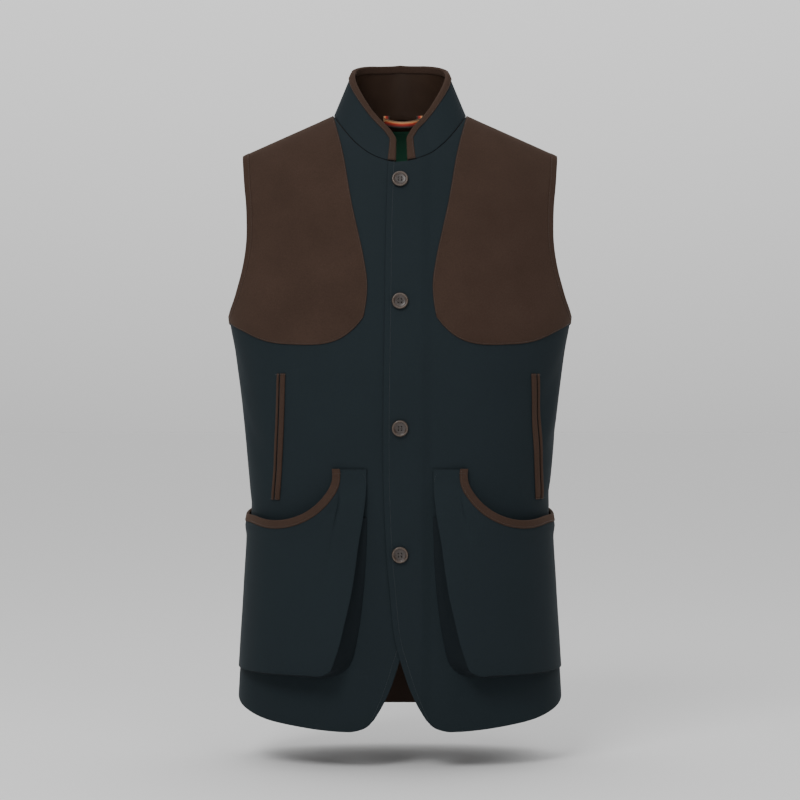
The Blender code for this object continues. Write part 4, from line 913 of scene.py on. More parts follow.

# %% [markdown]
# ## The field cloth
#
# The main cloth is a fine worsted wool twill, woven from dark navy yarn and pressed smooth. Its
# nap scatters light, so it has no highlight, only a faint sheen where it turns away. Twill lines
# run diagonally, about 0.8 mm apart on the real cloth, too fine for this picture, so they are
# drawn at 1.6 mm and kept faint. The pockets' gussets are the same cloth in a darker copy, which
# paints the shade of their recess into its colour.

# %% Worsted wool twill
TWILL_PITCH = 0.0016
YARN_PITCH = 0.0008
TWILL_SLANT = 0.8
PICK_SHARE = 0.35


def woven_height(tree, chart, pitch_along, pitch_across, slant=0.0):
    """The raised lines of a weave on a chart in metres, from 0 to 1."""
    split = add_node(tree, "ShaderNodeSeparateXYZ", {"Vector": chart})
    along, up = split.outputs[0], split.outputs[1]
    slanted = math_of(tree, "MULTIPLY_ADD", up, slant, along)
    lines = math_of(tree, "SINE", math_of(tree, "MULTIPLY", slanted, 2 * math.pi / pitch_along))
    picks = math_of(tree, "SINE", math_of(tree, "MULTIPLY", up, 2 * math.pi / pitch_across))
    total = math_of(tree, "MULTIPLY_ADD", picks, PICK_SHARE, lines)
    return ranged(tree, total, 0.0, 1.0, -1 - PICK_SHARE, 1 + PICK_SHARE)


def worsted_twill(name, dark_yarn, pale_yarn):
    finish, tree, shader = new_finish(
        name, Roughness=0.82, Sheen_Weight=0.03, Sheen_Roughness=0.45,
        Sheen_Tint=linear("#9fb0bd"), Specular_IOR_Level=0.15,
    )
    height = woven_height(tree, cut_chart(tree), TWILL_PITCH, YARN_PITCH, TWILL_SLANT)
    place = object_place(tree)
    fibres = noise(tree, place, scale=900.0, detail=2.0, roughness=0.6)
    worn = ranged(tree, noise(tree, place, scale=9.0, detail=3.0), low=0.92, high=1.08)
    shaded = math_of(tree, "MULTIPLY", ranged(tree, height, low=0.82, high=1.12), worn)
    paint(tree, shader, mixed(tree, fibres, dark_yarn, pale_yarn), shaded)
    emboss(tree, shader, height, strength=0.25, distance=0.00012)
    return finish


FIELD_CLOTH = worsted_twill("worsted_wool_twill", "#171f22", "#20292e")
# A darker copy of the same twill for the gussets: painted shade of the pocket recess
GUSSET_TWILL_PAINTED_SHADE = worsted_twill("wool_twill_painted_shade", "#10161a", "#181f23")
print("made", FIELD_CLOTH.name, GUSSET_TWILL_PAINTED_SHADE.name)

# %% [markdown]
# ## The suede
#
# Patches, bindings and pocket lips are brown split-leather suede, sanded to a short nap. Fingers
# leave the nap lying in soft lighter and darker clouds, and close up it is a fine uneven grain.
# It is matt, with a sheen at its edges.

# %% Napped suede
def napped_suede():
    finish, tree, shader = new_finish(
        "brown_napped_suede", Roughness=0.95, Sheen_Weight=0.12, Sheen_Roughness=0.55,
        Sheen_Tint=linear("#a58a75"), Specular_IOR_Level=0.10,
    )
    place = object_place(tree)
    nap = noise(tree, place, scale=700.0, detail=3.0, roughness=0.7)
    clouds = noise(tree, place, scale=22.0, detail=4.0, roughness=0.55)
    shaded = ranged(tree, nap, low=0.82, high=1.16, start=0.3, stop=0.7)
    paint(tree, shader, mixed(tree, clouds, "#352821", "#41322b"), shaded)
    emboss(tree, shader, nap, strength=0.5, distance=0.00025)
    return finish


SUEDE = napped_suede()
print("made", SUEDE.name)

# %% [markdown]
# ## The lining
#
# The collar's inside and the back's lining are dark brown satin-faced viscose. It is smoother
# than the wool, with a soft broad gloss and a hardly visible weave.

# %% Viscose lining
LINING_PITCH = 0.0009


def satin_lining():
    finish, tree, shader = new_finish(
        "dark_brown_viscose_lining", Roughness=0.55, Sheen_Weight=0.03, Specular_IOR_Level=0.18
    )
    slubs = noise(tree, object_place(tree), scale=60.0, detail=3.0)
    tree.links.new(mixed(tree, slubs, "#2a1b12", "#35251a"), shader.inputs["Base Color"])
    height = woven_height(tree, cut_chart(tree), LINING_PITCH, LINING_PITCH)
    emboss(tree, shader, height, strength=0.2, distance=0.0001)
    return finish


LINING = satin_lining()
print("made", LINING.name)

# %% [markdown]
# ## Fronts
#
# The left front laps over the right one, so it stands out by its own thickness there. Everything
# else about the two is mirrored, apart from their creases.

# %% Left and right front
FRONT_WALL = 0.0016
LAP_RISE = 0.0023
LAP_RISE_FULL_X = 0.024
LAP_RISE_END_X = 0.040


def lap_rise(x):
    """How far the left front stands out over the right one."""
    return LAP_RISE * smooth_step((LAP_RISE_END_X - x) / (LAP_RISE_END_X - LAP_RISE_FULL_X))


SIDES = (("left", 1), ("right", -1))


for name, side in SIDES:
    offset = lap_rise(form(FRONT)[..., 0]) if side > 0 else 0.0
    outer = laid(FRONT, offset, side)
    inner = laid(FRONT, offset - FRONT_WALL, side)
    made = add_sheet("front_" + name, outer, inner, FIELD_CLOTH, turned=side < 0)
    ride_and_replace(made)
print("front triangles", triangles(made.data))

# %% [markdown]
# ## Back and its lining
#
# The back is one piece from side seam to side seam. Its lining lies just inside it and shows
# through the neck and in the gap of the hem.

# %% Back and lining
BACK_WALL = 0.0015
LINING_WALL = 0.0010


def whole_back(places, offset):
    """Points of both halves of the back, from the left side seam to the right one."""
    left = laid(places, offset, 1)
    right = laid(places, offset, -1)
    return np.concatenate([left, right[:, -2::-1]], axis=1)


made = add_sheet("back", whole_back(BACK, 0.0), whole_back(BACK, -BACK_WALL), FIELD_CLOTH)
ride_and_replace(made)

# Beside the armhole the lining stops where the binding's leg starts
LINED = BACK.copy()
for lined, row in zip(LINED[FINE_SHOULDER_ROW:], BACK[FINE_SHOULDER_ROW:]):
    lined[: 2 * FINE] = np.linspace(row[FINE], row[2 * FINE], 2 * FINE, endpoint=False)
outer = whole_back(LINED, -BACK_WALL - GAP)
inner = whole_back(LINED, -BACK_WALL - GAP - LINING_WALL)
made = add_sheet("back_lining", outer, inner, LINING)
ride_and_replace(made)
print("back triangles", triangles(made.data))

# %% [markdown]
# ## Shooting patches
#
# Suede covers each shoulder and the chest, where a gun's stock or a bag's strap would wear the
# cloth. It is cut to the armhole binding's edge and laid flat on the front.

# %% Left and right patch
PATCH_WALL = 0.0011
PATCH = FRONT[FINE_SHOULDER_ROW:, FINE_STRIP:-FINE]
for name, side in SIDES:
    outer = laid(PATCH, GAP + PATCH_WALL, side)
    inner = laid(PATCH, GAP, side)
    made = add_sheet("shooting_patch_" + name, outer, inner, SUEDE, turned=side < 0)
    ride_and_replace(made)
print("patch triangles", triangles(made.data))

# %% [markdown]
# ## Bound edges
#
# A binding is a strip folded round a raw edge and stitched through. Its two legs lie on the
# cloth's faces, its fold rounds over the edge, and its cut edges are a little soft. One rule
# makes all of them: it takes rows of points on both faces from the leg's end to the edge.

# %% A folded strip round an edge
BINDING_WALL = 0.0011
BINDING_ROWS = 6
# Shares of the way from the leg's end to the edge, and the shares of the wall there
LEG_SHARES = (0.0, 0.07, 0.25, 0.55, 0.85, 1.0)
LEG_HEIGHTS = (0.45, 0.92, 1.06, 1.10, 1.04, 1.0)
FOLD_ANGLES = (65, 35, 0, -35, -65)
MIDDLE_ROW = 3
STITCH_SHARE = 0.75
STITCH_HEIGHT = 1.05


def tube_faces(rings, sides, first=0, closed=False):
    """Faces of a tube through rings of points, closed on itself or with an end cap at each end."""
    faces = []
    for ring in range(rings if closed else rings - 1):
        here = first + ring * sides
        there = first + (ring + 1) % rings * sides
        for k in range(sides):
            turn = (k + 1) % sides
            faces.append((here + k, here + turn, there + turn, there + k))
    if not closed:
        faces.append(tuple(first + k for k in reversed(range(sides))))
        faces.append(tuple(first + (rings - 1) * sides + k for k in range(sides)))
    return faces


def between(legs, edges, times):
    """Rows of places from the leg's end to the edge, with more stations than were given."""
    leg, edge = finer(np.stack([legs, edges]), times=times)[::times]
    return leg + (edge - leg) * np.linspace(0, 1, BINDING_ROWS)[:, None, None]


def bind_edge(name, outer, inner, normals, ring=False):
    """A folded strip. outer, inner and normals run from the leg's end to the edge, by station.

    It returns the piece and the line on its outer leg where it is stitched, with its direction.
    """
    steps = np.linspace(0, 1, len(outer))
    wanted = np.array(LEG_SHARES)

    def at_shares(rows):
        index = np.clip(np.searchsorted(steps, wanted) - 1, 0, len(steps) - 2)
        t = ((wanted - steps[index]) / (steps[index + 1] - steps[index]))[:, None, None]
        return rows[index] * (1 - t) + rows[index + 1] * t

    top, low, out = at_shares(outer), at_shares(inner), unit(at_shares(normals))
    fold = unit(outer[-1] + inner[-1] - outer[-2] - inner[-2])
    reach = GAP + BINDING_WALL
    half = (np.linalg.norm(outer[-1] - inner[-1], axis=1) / 2 + reach)[:, None]
    middle = (outer[-1] + inner[-1]) / 2
    leg = [out[k] * (GAP + BINDING_WALL * height) for k, height in enumerate(LEG_HEIGHTS)]
    near_top, near_low = top + out * GAP, low - out * GAP
    rows = [near_top[0]]
    rows += [top[k] + leg[k] for k in range(len(leg))]
    for angle in map(math.radians, FOLD_ANGLES):
        rows.append(middle + out[-1] * half * math.sin(angle) + fold * reach * math.cos(angle))
    rows += [low[k] - leg[k] for k in reversed(range(len(leg)))]
    rows += [near_low[0], near_low[MIDDLE_ROW], near_low[-1] + fold * GAP]
    rows += [near_top[-1] + fold * GAP, near_top[MIDDLE_ROW]]
    rings = np.array(rows).swapaxes(0, 1)
    along = running_length(rings[:, MIDDLE_ROW])
    around = running_length(rings[0])
    chart = np.stack(np.broadcast_arrays(along[:, None], around[None, :]), axis=-1).reshape(-1, 2)
    faces = tube_faces(*rings.shape[:2], closed=ring)
    piece = add_piece(name, rings.reshape(-1, 3), faces, chart, SUEDE)
    close_outward(piece)
    stitch_line = top[2] * STITCH_SHARE + top[1] * (1 - STITCH_SHARE)
    stitch_line = stitch_line + out[2] * (GAP + BINDING_WALL * STITCH_HEIGHT)
    return piece, (stitch_line, out[2])

# %% [markdown]
# ## Armhole bindings
#
# Each armhole is bound all the way round: up the front's edge to the shoulder, down the back's
# edge, and under the arm across the side seam.

# %% Left and right armhole
CORNER_TURN = 0.25


def armhole_half(grid, edge_column, leg_column, wall, side):
    """Rows of points up one side of an armhole, on both faces, from the leg's end to the edge."""
    corner = grid[SHOULDER_ROW, edge_column]
    below = grid[SHOULDER_ROW - 1, edge_column]
    drop = BINDING_WIDTH / (corner[1] - below[1])
    turn = corner * (1 - CORNER_TURN) + grid[SHOULDER_ROW + 1, edge_column] * CORNER_TURN
    above = grid[SHOULDER_ROW + 1 :]
    edges = np.array([corner, turn] + [row[edge_column] for row in above])
    legs = [corner + (below - corner) * drop, grid[SHOULDER_ROW, leg_column]]
    legs = np.array(legs + [row[leg_column] for row in above])
    rows = between(legs, edges, FINE)
    if edge_column == 0:
        rows[..., 0] = np.maximum(rows[..., 0], BACK_SIDE)
    else:
        rows[..., 0] = np.minimum(rows[..., 0], SIDE)
    return laid(rows, 0.0, side), laid(rows, -wall, side), facing_out(rows, side)


def joined(up, down):
    """One ring of rows up the front and down the back, whose ends meet halfway."""
    foot = (up[:, :1] + down[:, :1]) / 2
    head = (up[:, -1:] + down[:, -1:]) / 2
    return np.concatenate([foot, up[:, 1:-1], head, down[:, -2:0:-1]], axis=1)


coarse_front = front_places()
coarse_back = back_places()
armhole_lines = []
for name, side in SIDES:
    up = armhole_half(coarse_front, -1, -2, FRONT_WALL, side)
    down = armhole_half(coarse_back, 0, 1, BACK_WALL, side)
    ring = map(joined, up, down)
    made, line = bind_edge("armhole_binding_" + name, *ring, ring=True)
    ride_and_replace(made)
    armhole_lines.append(line)
print("armhole binding triangles", triangles(made.data))

# %% [markdown]
# ## Stand collar
#
# The collar is a band that follows the neckline and leans in with the neck, more in front than
# behind. It has its own chart: the distance along the neck seam and the height above it. The
# rounded ends are drawn on that chart, then wrapped round the neck with the rest.

# %% The neckline that carries the collar
COLLAR_LEFT_END_X = 0.0107
COLLAR_RIGHT_END_X = 0.0066
COLLAR_SEAM_GAP = 0.0006
# Share of the way round from front to back, and how far the collar leans in there, in degrees
COLLAR_LEANS = (
    (0.00, 27.0), (0.12, 26.0), (0.26, 22.8), (0.50, 22.5), (0.75, 16.0), (1.00, 13.0),
)


def cut_line(line, angle, keep_low=False):
    """Cut a line of points at an angle round the neck."""
    cut = [np.interp(angle, line[:, 3], line[:, axis]) for axis in range(4)]
    if keep_low:
        return np.vstack([line[line[:, 3] < angle - 1e-6], cut])
    return np.vstack([cut, line[line[:, 3] > angle + 1e-6]])


def neck_line():
    """Points along the neck seam from the collar's left end to its right end.

    Each has a fourth value, its angle round the neck from the centre front.
    """
    front_seam = FRONT[-1, : FINE_STRIP + 1].copy()
    drops = np.interp(np.arange(2 * FINE + 1) / FINE, (0, 1, 2), LAP_NECK_DROPS + (0.0,))
    front_seam[: 2 * FINE + 1, 1] += drops
    back_seam = BACK[-1, -BACK_NECK_COLUMNS * FINE :]
    raised = lap_rise(form(front_seam)[:, 0])
    left = np.concatenate([lifted(front_seam, raised), lifted(back_seam)])
    right = np.concatenate([lifted(front_seam), lifted(back_seam)]) * (-1, 1, 1)
    lap = math.asin(FRONT_EDGE[-1][1] / NECK_HALF_WIDTH)
    front_angles = np.linspace(lap, math.pi / 2, FINE_STRIP + 1)
    back_angles = np.linspace(math.pi / 2, math.pi, BACK_NECK_COLUMNS * FINE + 1)[1:]
    half_angles = np.concatenate([front_angles, back_angles])
    left = np.column_stack([left, half_angles])
    right = np.column_stack([right, 2 * math.pi - half_angles])
    left = cut_line(left, math.asin(COLLAR_LEFT_END_X / NECK_HALF_WIDTH))
    right_end = 2 * math.pi - math.asin(COLLAR_RIGHT_END_X / NECK_HALF_WIDTH)
    right = cut_line(right[::-1], right_end, keep_low=True)
    return np.concatenate([left, right[1:]])


def collar_directions(angle):
    """The collar's rising and outward directions at an angle round the neck."""
    folded = np.minimum(angle, 2 * math.pi - angle)
    side = np.where(angle <= math.pi, 1.0, -1.0)
    depth = np.where(folded > math.pi / 2, NECK_BACK_DEPTH, NECK_FRONT_DEPTH)
    plan_x = side * np.sin(folded) / NECK_HALF_WIDTH
    plan = unit(np.stack([plan_x, -np.cos(folded) / depth, 0 * folded], axis=-1))
    lean = np.radians(curve_through(COLLAR_LEANS)(folded / math.pi))[..., None]
    upright_axis = np.array([0.0, 0.0, 1.0])
    rising = upright_axis * np.cos(lean) - plan * np.sin(lean)
    out = plan * np.cos(lean) + upright_axis * np.sin(lean)
    return rising, out


NECK = neck_line()
NECK_LENGTH = running_length(NECK[:, :3])
print("neck seam", round(NECK_LENGTH[-1], 4), "m")

# %% The collar's shape on its chart
# Distance from the end and height: the collar's rounded end, and the same in by a binding
COLLAR_END_EDGE = (
    (0.0008, 0.0325), (0.0045, 0.0385), (0.0110, 0.0448), (0.0220, 0.0499), (0.0360, 0.0534),
)
COLLAR_END_INSET = (
    (0.0000, 0.0255), (0.0085, 0.0305), (0.0166, 0.0386), (0.0258, 0.0426), (0.0379, 0.0453),
)
COLLAR_END_MIDDLE = ((0.0, 0.0130), (0.0085, 0.0145))
# Distance from the end and height of the top edge
COLLAR_HEIGHTS = (
    (0.0360, 0.0534), (0.0600, 0.0560), (0.1150, 0.0572), (0.1450, 0.0618), (0.1650, 0.0654),
    (0.1850, 0.0684), (0.2050, 0.0690), (0.2300, 0.0664), (0.2520, 0.0648),
)
COLLAR_BINDING_WIDTH = 0.0083
COLLAR_END_STEPS = 0.0085
COLLAR_COLUMNS = 24
COLLAR_FINE = 6


def collar_chart():
    """Rows of (along, height) from the seam to the edge, by column from left end to right end."""
    total = NECK_LENGTH[-1]
    ends = len(COLLAR_END_EDGE)
    start = COLLAR_END_EDGE[-1][0] + COLLAR_END_STEPS
    middle = np.linspace(start, total - start, COLLAR_COLUMNS)
    first = np.linspace(0.0, start - COLLAR_END_STEPS, ends)
    base = np.concatenate([first, middle, total - first[::-1]])
    regular = curve_through(COLLAR_HEIGHTS)(np.minimum(base, total - base))
    rows = np.zeros((4, len(base), 2))
    rows[0, :, 0] = base
    rows[2] = np.stack([base, regular - COLLAR_BINDING_WIDTH], axis=-1)
    rows[3] = np.stack([base, regular], axis=-1)

    def set_ends(row, spots):
        rows[row, : len(spots)] = spots
        rows[row, -len(spots) :] = [(total - s, h) for s, h in reversed(spots)]

    set_ends(2, COLLAR_END_INSET)
    set_ends(3, COLLAR_END_EDGE)
    rows[1] = (rows[0] + rows[2]) / 2
    set_ends(1, COLLAR_END_MIDDLE)
    return rows


def wrap_collar(chart):
    """Points of the collar's outer face and its outward directions, for a chart."""
    along = chart[..., 0]
    point = np.stack([np.interp(along, NECK_LENGTH, NECK[:, axis]) for axis in range(3)], axis=-1)
    rising, out = collar_directions(np.interp(along, NECK_LENGTH, NECK[:, 3]))
    return point + rising * (chart[..., 1:] + COLLAR_SEAM_GAP), out

# %% The facing's lower edge
FELL_DROP = 0.0040
FELL_STAND = 0.0013
FELL_HEIGHT = 0.006
FELL_START = 0.030
FELL_EASE = 0.020


def felled(chart, top, low):
    """Both faces of the facing. Round the back its lower edge is felled over the lining."""
    from_end = np.minimum(chart[..., 0], NECK_LENGTH[-1] - chart[..., 0])
    share = smooth_step((from_end - FELL_START) / FELL_EASE)
    share = share * (1 - smooth_step(chart[..., 1] / FELL_HEIGHT))
    lower = chart - np.stack([0 * share, FELL_DROP * share], axis=-1)
    point, out = wrap_collar(lower)
    stand = (FELL_STAND * share)[..., None]
    return point + out * (top - stand), point + out * (low - stand)


# %% Collar, facing and binding
COLLAR_WALL = 0.0014
FACING_WALL = 0.0012
coarse_collar = collar_chart()
chart = finer(coarse_collar, times=COLLAR_FINE)
face, out = wrap_collar(chart)
facing_top = -COLLAR_WALL - GAP
facing_low = facing_top - FACING_WALL
made = add_sheet("collar_outer", face, face - out * COLLAR_WALL, FIELD_CLOTH, chart=chart)
ride_and_replace(made)
print("collar triangles", triangles(made.data))
made = add_sheet("collar_facing", *felled(chart, facing_top, facing_low), LINING, chart=chart)
ride_and_replace(made)

# The binding goes up one end, along the top edge and down the other end
last = coarse_collar.shape[1] - 1
pairs = [((row, 0), (row, 1)) for row in range(3)]
pairs += [((3, 0), (2, 1))]
pairs += [((3, column), (2, column)) for column in range(1, last)]
pairs += [((3, last), (2, last - 1))]
pairs += [((row, last), (row, last - 1)) for row in (2, 1, 0)]
edges = np.array([coarse_collar[edge] for edge, leg in pairs])
legs = np.array([coarse_collar[leg] for edge, leg in pairs])
edge_face, edge_out = wrap_collar(between(legs, edges, COLLAR_FINE))
edge_inside = edge_face + edge_out * facing_low
made, collar_line = bind_edge("collar_binding", edge_face, edge_inside, edge_out)
ride_and_replace(made)

# %% [markdown]
# ## Bellows pockets
#
# A bellows pocket is a flat face on a side strip, the gusset, so that it can swell. The face
# stands off the body most at its inner edge near the bottom. The gusset is pulled out to a wall
# between the face's edge and its seam on the body, and sags in a little. Its cloth is painted
# darker, as painted shade of the recess between face and body. The mouth is scooped and bound.

# %% The pocket face's places
POCKET_REAR_COLUMNS = 2
POCKET_TAB_COLUMNS = 2
# Height and distance from the centre
POCKET_INNER_EDGE = (
    (-0.6945, 0.0800), (-0.6812, 0.0745), (-0.6507, 0.0680), (-0.6229, 0.0615), (-0.5865, 0.0550),
    (-0.5454, 0.0503), (-0.5100, 0.0448), (-0.4660, 0.0407), (-0.4475, 0.0407),
)
# Distance from the centre and height
POCKET_FACE_BOTTOM = (
    (0.0800, -0.6945), (0.0880, -0.7003), (0.1000, -0.7010), (0.1500, -0.7008), (SIDE, -0.7005),
)
POCKET_MOUTH = (
    (0.0820, -0.4475), (0.0826, -0.4651), (0.0930, -0.4854), (0.1064, -0.4989), (0.1247, -0.5087),
    (0.1500, -0.5131), (0.1780, -0.5093), (SIDE, -0.5070),
)
POCKET_REAR_TOP_Z = -0.500
POCKET_REAR_FOOT_Z = -0.700
# Height and distance from the centre, below the mouth's inner corner
POCKET_TAB_LINE = (
    (-0.7010, 0.1040), (-0.6000, 0.0900), (-0.5200, 0.0790), (-0.4700, 0.0735), (-0.4475, 0.0820),
)


def pocket_face_places():
    """Places under the pocket's face: columns from the inner edge to behind the side seam."""
    rear = SIDE + POCKET_REAR_COLUMNS / BACK_COLUMNS
    wide = WIDE_COLUMNS + POCKET_REAR_COLUMNS - POCKET_TAB_COLUMNS
    inner_edge = upright(POCKET_INNER_EDGE, POCKET_INNER_EDGE[0][0], POCKET_INNER_EDGE[-1][0])
    tab_line = upright(POCKET_TAB_LINE, POCKET_TAB_LINE[0][0], POCKET_TAB_LINE[-1][0])
    tab_bottom = across(POCKET_FACE_BOTTOM, inner_edge[0, 0], tab_line[0, 0])
    bottom = across(POCKET_FACE_BOTTOM, tab_line[0, 0])
    rear_bottom = straight((SIDE, POCKET_FACE_BOTTOM[-1][1]), (rear, POCKET_REAR_FOOT_Z))
    bottom = np.concatenate([bottom, rear_bottom[1:]])
    mouth_places = [place_at(*spot) for spot in POCKET_MOUTH]
    mouth = smooth_line(np.array(mouth_places + [(rear, POCKET_REAR_TOP_Z)], float))
    rear_edge = straight((rear, POCKET_REAR_FOOT_Z), (rear, POCKET_REAR_TOP_Z))
    left = spaced(inner_edge, ROWS_OF_POCKET)
    middle = spaced(tab_line, ROWS_OF_POCKET)
    right = spaced(rear_edge, ROWS_OF_POCKET)
    tab_top = spaced(straight(inner_edge[-1], mouth[0]), POCKET_TAB_COLUMNS)
    tab = coons(spaced(tab_bottom, POCKET_TAB_COLUMNS), tab_top, left, middle)
    rest = coons(spaced(bottom, wide), spaced(mouth, wide), middle, right)
    grid = np.concatenate([tab, rest[:, 1:]], axis=1)
    top = form(grid[-1])
    below = form(grid[-2])
    share = BINDING_WIDTH / np.linalg.norm(top - below, axis=1, keepdims=True)
    bound = grid[-1] + (grid[-2] - grid[-1]) * share
    return np.concatenate([grid[:-1], bound[None], grid[-1:]])


# %% How far the face stands off
POCKET_DEPTH = 0.026
POCKET_SWELL_END = 0.78
POCKET_SWELL_POWER = 1.5
POCKET_DEPTH_TOP_Z = -0.466
POCKET_DEPTH_DROP = 0.215
POCKET_DEPTH_POWER = 0.8
POCKET_GAPE = 0.0085
POCKET_GAPE_DROP = 0.18
POCKET_GAPE_POWER = 0.8
POCKET_PULL = 0.75
POCKET_PULL_START = 0.50
POCKET_PULL_EASE = 0.2
POCKET_PULL_DROP = 0.016
POCKET_BINDING_ROOM = 0.0022
POCKET_BINDING_END = 1.6
POCKET_SEWN_Z = -0.455
POCKET_SEWN_EASE = 0.04
POCKET_COLUMNS = WIDE_COLUMNS + POCKET_REAR_COLUMNS + 1


def pocket_depth(places):
    """How far the pocket's face stands off the body at each place."""
    rows, columns = places.shape[:2]
    z = places[..., 1]
    share = np.linspace(0, 1, columns)[None, :] * np.ones((rows, 1))
    drop = np.clip((POCKET_DEPTH_TOP_Z - z) / POCKET_DEPTH_DROP, 0, 1) ** POCKET_DEPTH_POWER
    towards_end = np.minimum(share / POCKET_SWELL_END, 1.0) ** POCKET_SWELL_POWER
    swelling = np.cos(math.pi / 2 * towards_end) ** 2
    mouth_z = places[-1:, :, 1]
    gape = np.clip(1 - (mouth_z - z) / POCKET_GAPE_DROP, 0, 1)
    gape = gape * np.sin(math.pi * share**POCKET_GAPE_POWER)
    gape = gape * smooth_step((POCKET_SEWN_Z - z) / POCKET_SEWN_EASE)
    pull = smooth_step((share - POCKET_PULL_START) / POCKET_PULL_EASE)
    pull = pull * smooth_step(1 - (mouth_z - z) / POCKET_PULL_DROP)
    gape = gape * (1 - POCKET_PULL * pull)
    bound = smooth_step(POCKET_BINDING_END - (mouth_z - z) / (2 * BINDING_WIDTH))
    bound = bound * smooth_step(share * POCKET_COLUMNS / 2)
    return POCKET_DEPTH * drop * swelling + POCKET_GAPE * gape + POCKET_BINDING_ROOM * bound


COARSE_FACE = pocket_face_places()
FACE = finer(COARSE_FACE, column_corner=POCKET_TAB_COLUMNS)
FACE_DEPTH = pocket_depth(FACE) + LOOSE_GAP
print("pocket face grid", FACE.shape[:2], "stands off", round(float(FACE_DEPTH.max()), 4))

# %% A strip of even width under a mouth
POCKET_WALL = 0.0015


def mouth_rows(outer, inner):
    """Points on a pocket's face, in rows from a binding's width below its mouth to the edge."""
    rows, columns = outer.shape[:2]
    corners = [row * columns + column for row in range(rows - 1) for column in range(columns - 1)]
    cells = [(a, a + 1, a + columns + 1, a + columns) for a in corners]
    surface = BVHTree.FromPolygons(outer.reshape(-1, 3).tolist(), cells)
    start = POCKET_TAB_COLUMNS * FINE
    edge = outer[-1, start:]
    out = unit(edge - inner[-1, start:])
    inward = unit(np.cross(out, np.gradient(edge, axis=0)))
    if ((outer[-FINE, start:] - edge) * inward).sum() < 0:
        inward = -inward
    spots = np.empty((BINDING_ROWS,) + edge.shape)
    ways = np.empty_like(spots)
    for index, reach in enumerate(np.linspace(BINDING_WIDTH, 0, BINDING_ROWS)):
        for station, point in enumerate(edge + inward * reach):
            spot, way = surface.find_nearest(point)[:2]
            spots[index, station] = spot
            ways[index, station] = way if np.dot(way, out[station]) > 0 else -way
    return spots, spots - ways * POCKET_WALL, ways


# %% Faces and bound mouths
mouth_lines = []
for name, side in SIDES:
    inner = laid(FACE, FACE_DEPTH, side)
    outer = laid(FACE, FACE_DEPTH + POCKET_WALL, side)
    made = add_sheet("pocket_face_" + name, outer, inner, FIELD_CLOTH, turned=side < 0)
    ride_and_replace(made)
    made, line = bind_edge("pocket_binding_" + name, *mouth_rows(outer, inner))
    ride_and_replace(made)
    mouth_lines.append(line)
print("pocket face triangles", triangles(pieces["pocket_face_left"].data))

# %% Gussets
GUSSET_WALL = 0.0010
GUSSET_LEAST_DEPTH = 0.0042
GUSSET_SAG = 0.0025
GUSSET_HEM = 0.0015
GUSSET_SHARES = (0.33, 0.67)
GUSSET_MOST_SHARE = 0.9
GUSSET_FINE = 4


def thickened(middle, wall):
    """Outer and inner points of a thin strip, from the mean normals of its cells."""
    cells = unit(np.cross(middle[1:, 1:] - middle[:-1, :-1], middle[1:, :-1] - middle[:-1, 1:]))
    normal = np.zeros_like(middle)
    for rows in (slice(None, -1), slice(1, None)):
        for columns in (slice(None, -1), slice(1, None)):
            normal[rows, columns] += cells
    half = unit(normal) * wall / 2
    return middle + half, middle - half


def gusset_middle(side):
    """Rows of points from the face's edge to the seam on the body, sagging in a little between."""
    depth = pocket_depth(COARSE_FACE) + LOOSE_GAP
    foot = ROWS_BELOW_POCKET
    seam = []
    for row in reversed(range(ROWS_OF_POCKET)):
        seam.append((coarse_front[foot + row, STRIP_COLUMNS], row, 0))
    for k in range(1, WIDE_COLUMNS + 1):
        seam.append((coarse_front[foot, STRIP_COLUMNS + k], 0, k))
    for k in range(1, POCKET_REAR_COLUMNS + 1):
        seam.append((coarse_back[foot, k], 0, WIDE_COLUMNS + k))
    strip = []
    for body_place, row, column in seam:
        room = depth[row, column]
        if room < GUSSET_LEAST_DEPTH:
            continue
        edge = COARSE_FACE[row, column]
        inward = COARSE_FACE[max(row, 1), max(column, 1)]
        span = np.linalg.norm(form(inward) - form(edge))
        hem = edge + (inward - edge) * min(GUSSET_HEM / span, GUSSET_MOST_SHARE)
        sag = (inward - edge) * min(GUSSET_SAG / span, GUSSET_MOST_SHARE)
        low = GAP + GUSSET_WALL / 2
        high = room - GAP - GUSSET_WALL / 2
        levels = [(hem, high)]
        for share in GUSSET_SHARES:
            level = high + (low - high) * share
            levels.append((edge + (body_place - edge) * share + sag, level))
        levels.append((body_place, low))
        strip.append([laid(place, level, side) for place, level in levels])
    return np.array(strip).transpose(1, 0, 2)


for name, side in SIDES:
    outer, inner = thickened(finer(gusset_middle(side), times=GUSSET_FINE), GUSSET_WALL)
    if side < 0:
        outer, inner = inner, outer
    # The gussets take the darker twill, whose colour is painted shade
    made = add_sheet("pocket_gusset_" + name, outer, inner, GUSSET_TWILL_PAINTED_SHADE, turned=side < 0)
    close_outward(made)
    ride_and_replace(made)
print("gusset triangles", triangles(made.data))

# %% [markdown]
# ## Hand pockets
#
# Each hand pocket is a long slit between two suede lips: a narrow one towards the side and a
# wide one towards the front. A lip is a folded strip sewn down along both its edges, so it has
# rounded edges and a slightly swollen face.

# %% Lips of the hand pockets
# The slit's top and bottom, as distance from the centre and height, and its bow
JET_LINES = {
    "left": ((0.1698, -0.3300), (0.1765, -0.4873), 0.0003),
    "right": ((0.1487, -0.3300), (0.1563, -0.4873), 0.0012),
}
JET_WALL = 0.0018
JET_OUTER_WIDTH = 0.0028
JET_INNER_WIDTH = 0.0062
JET_SLIT = 0.0014
LIP_STATIONS = 60
LIP_END_WALL = 0.55
LIP_END_EASE = 9.0
# Columns: share of the half width and share of the wall, round the section of a lip
LIP_SECTION = (
    (-1.0, 0.0), (-1.0, 0.45), (-0.86, 0.82), (-0.45, 1.0), (0.0, 1.05),
    (0.45, 1.0), (0.86, 0.82), (1.0, 0.45), (1.0, 0.0), (0.0, 0.0),
)


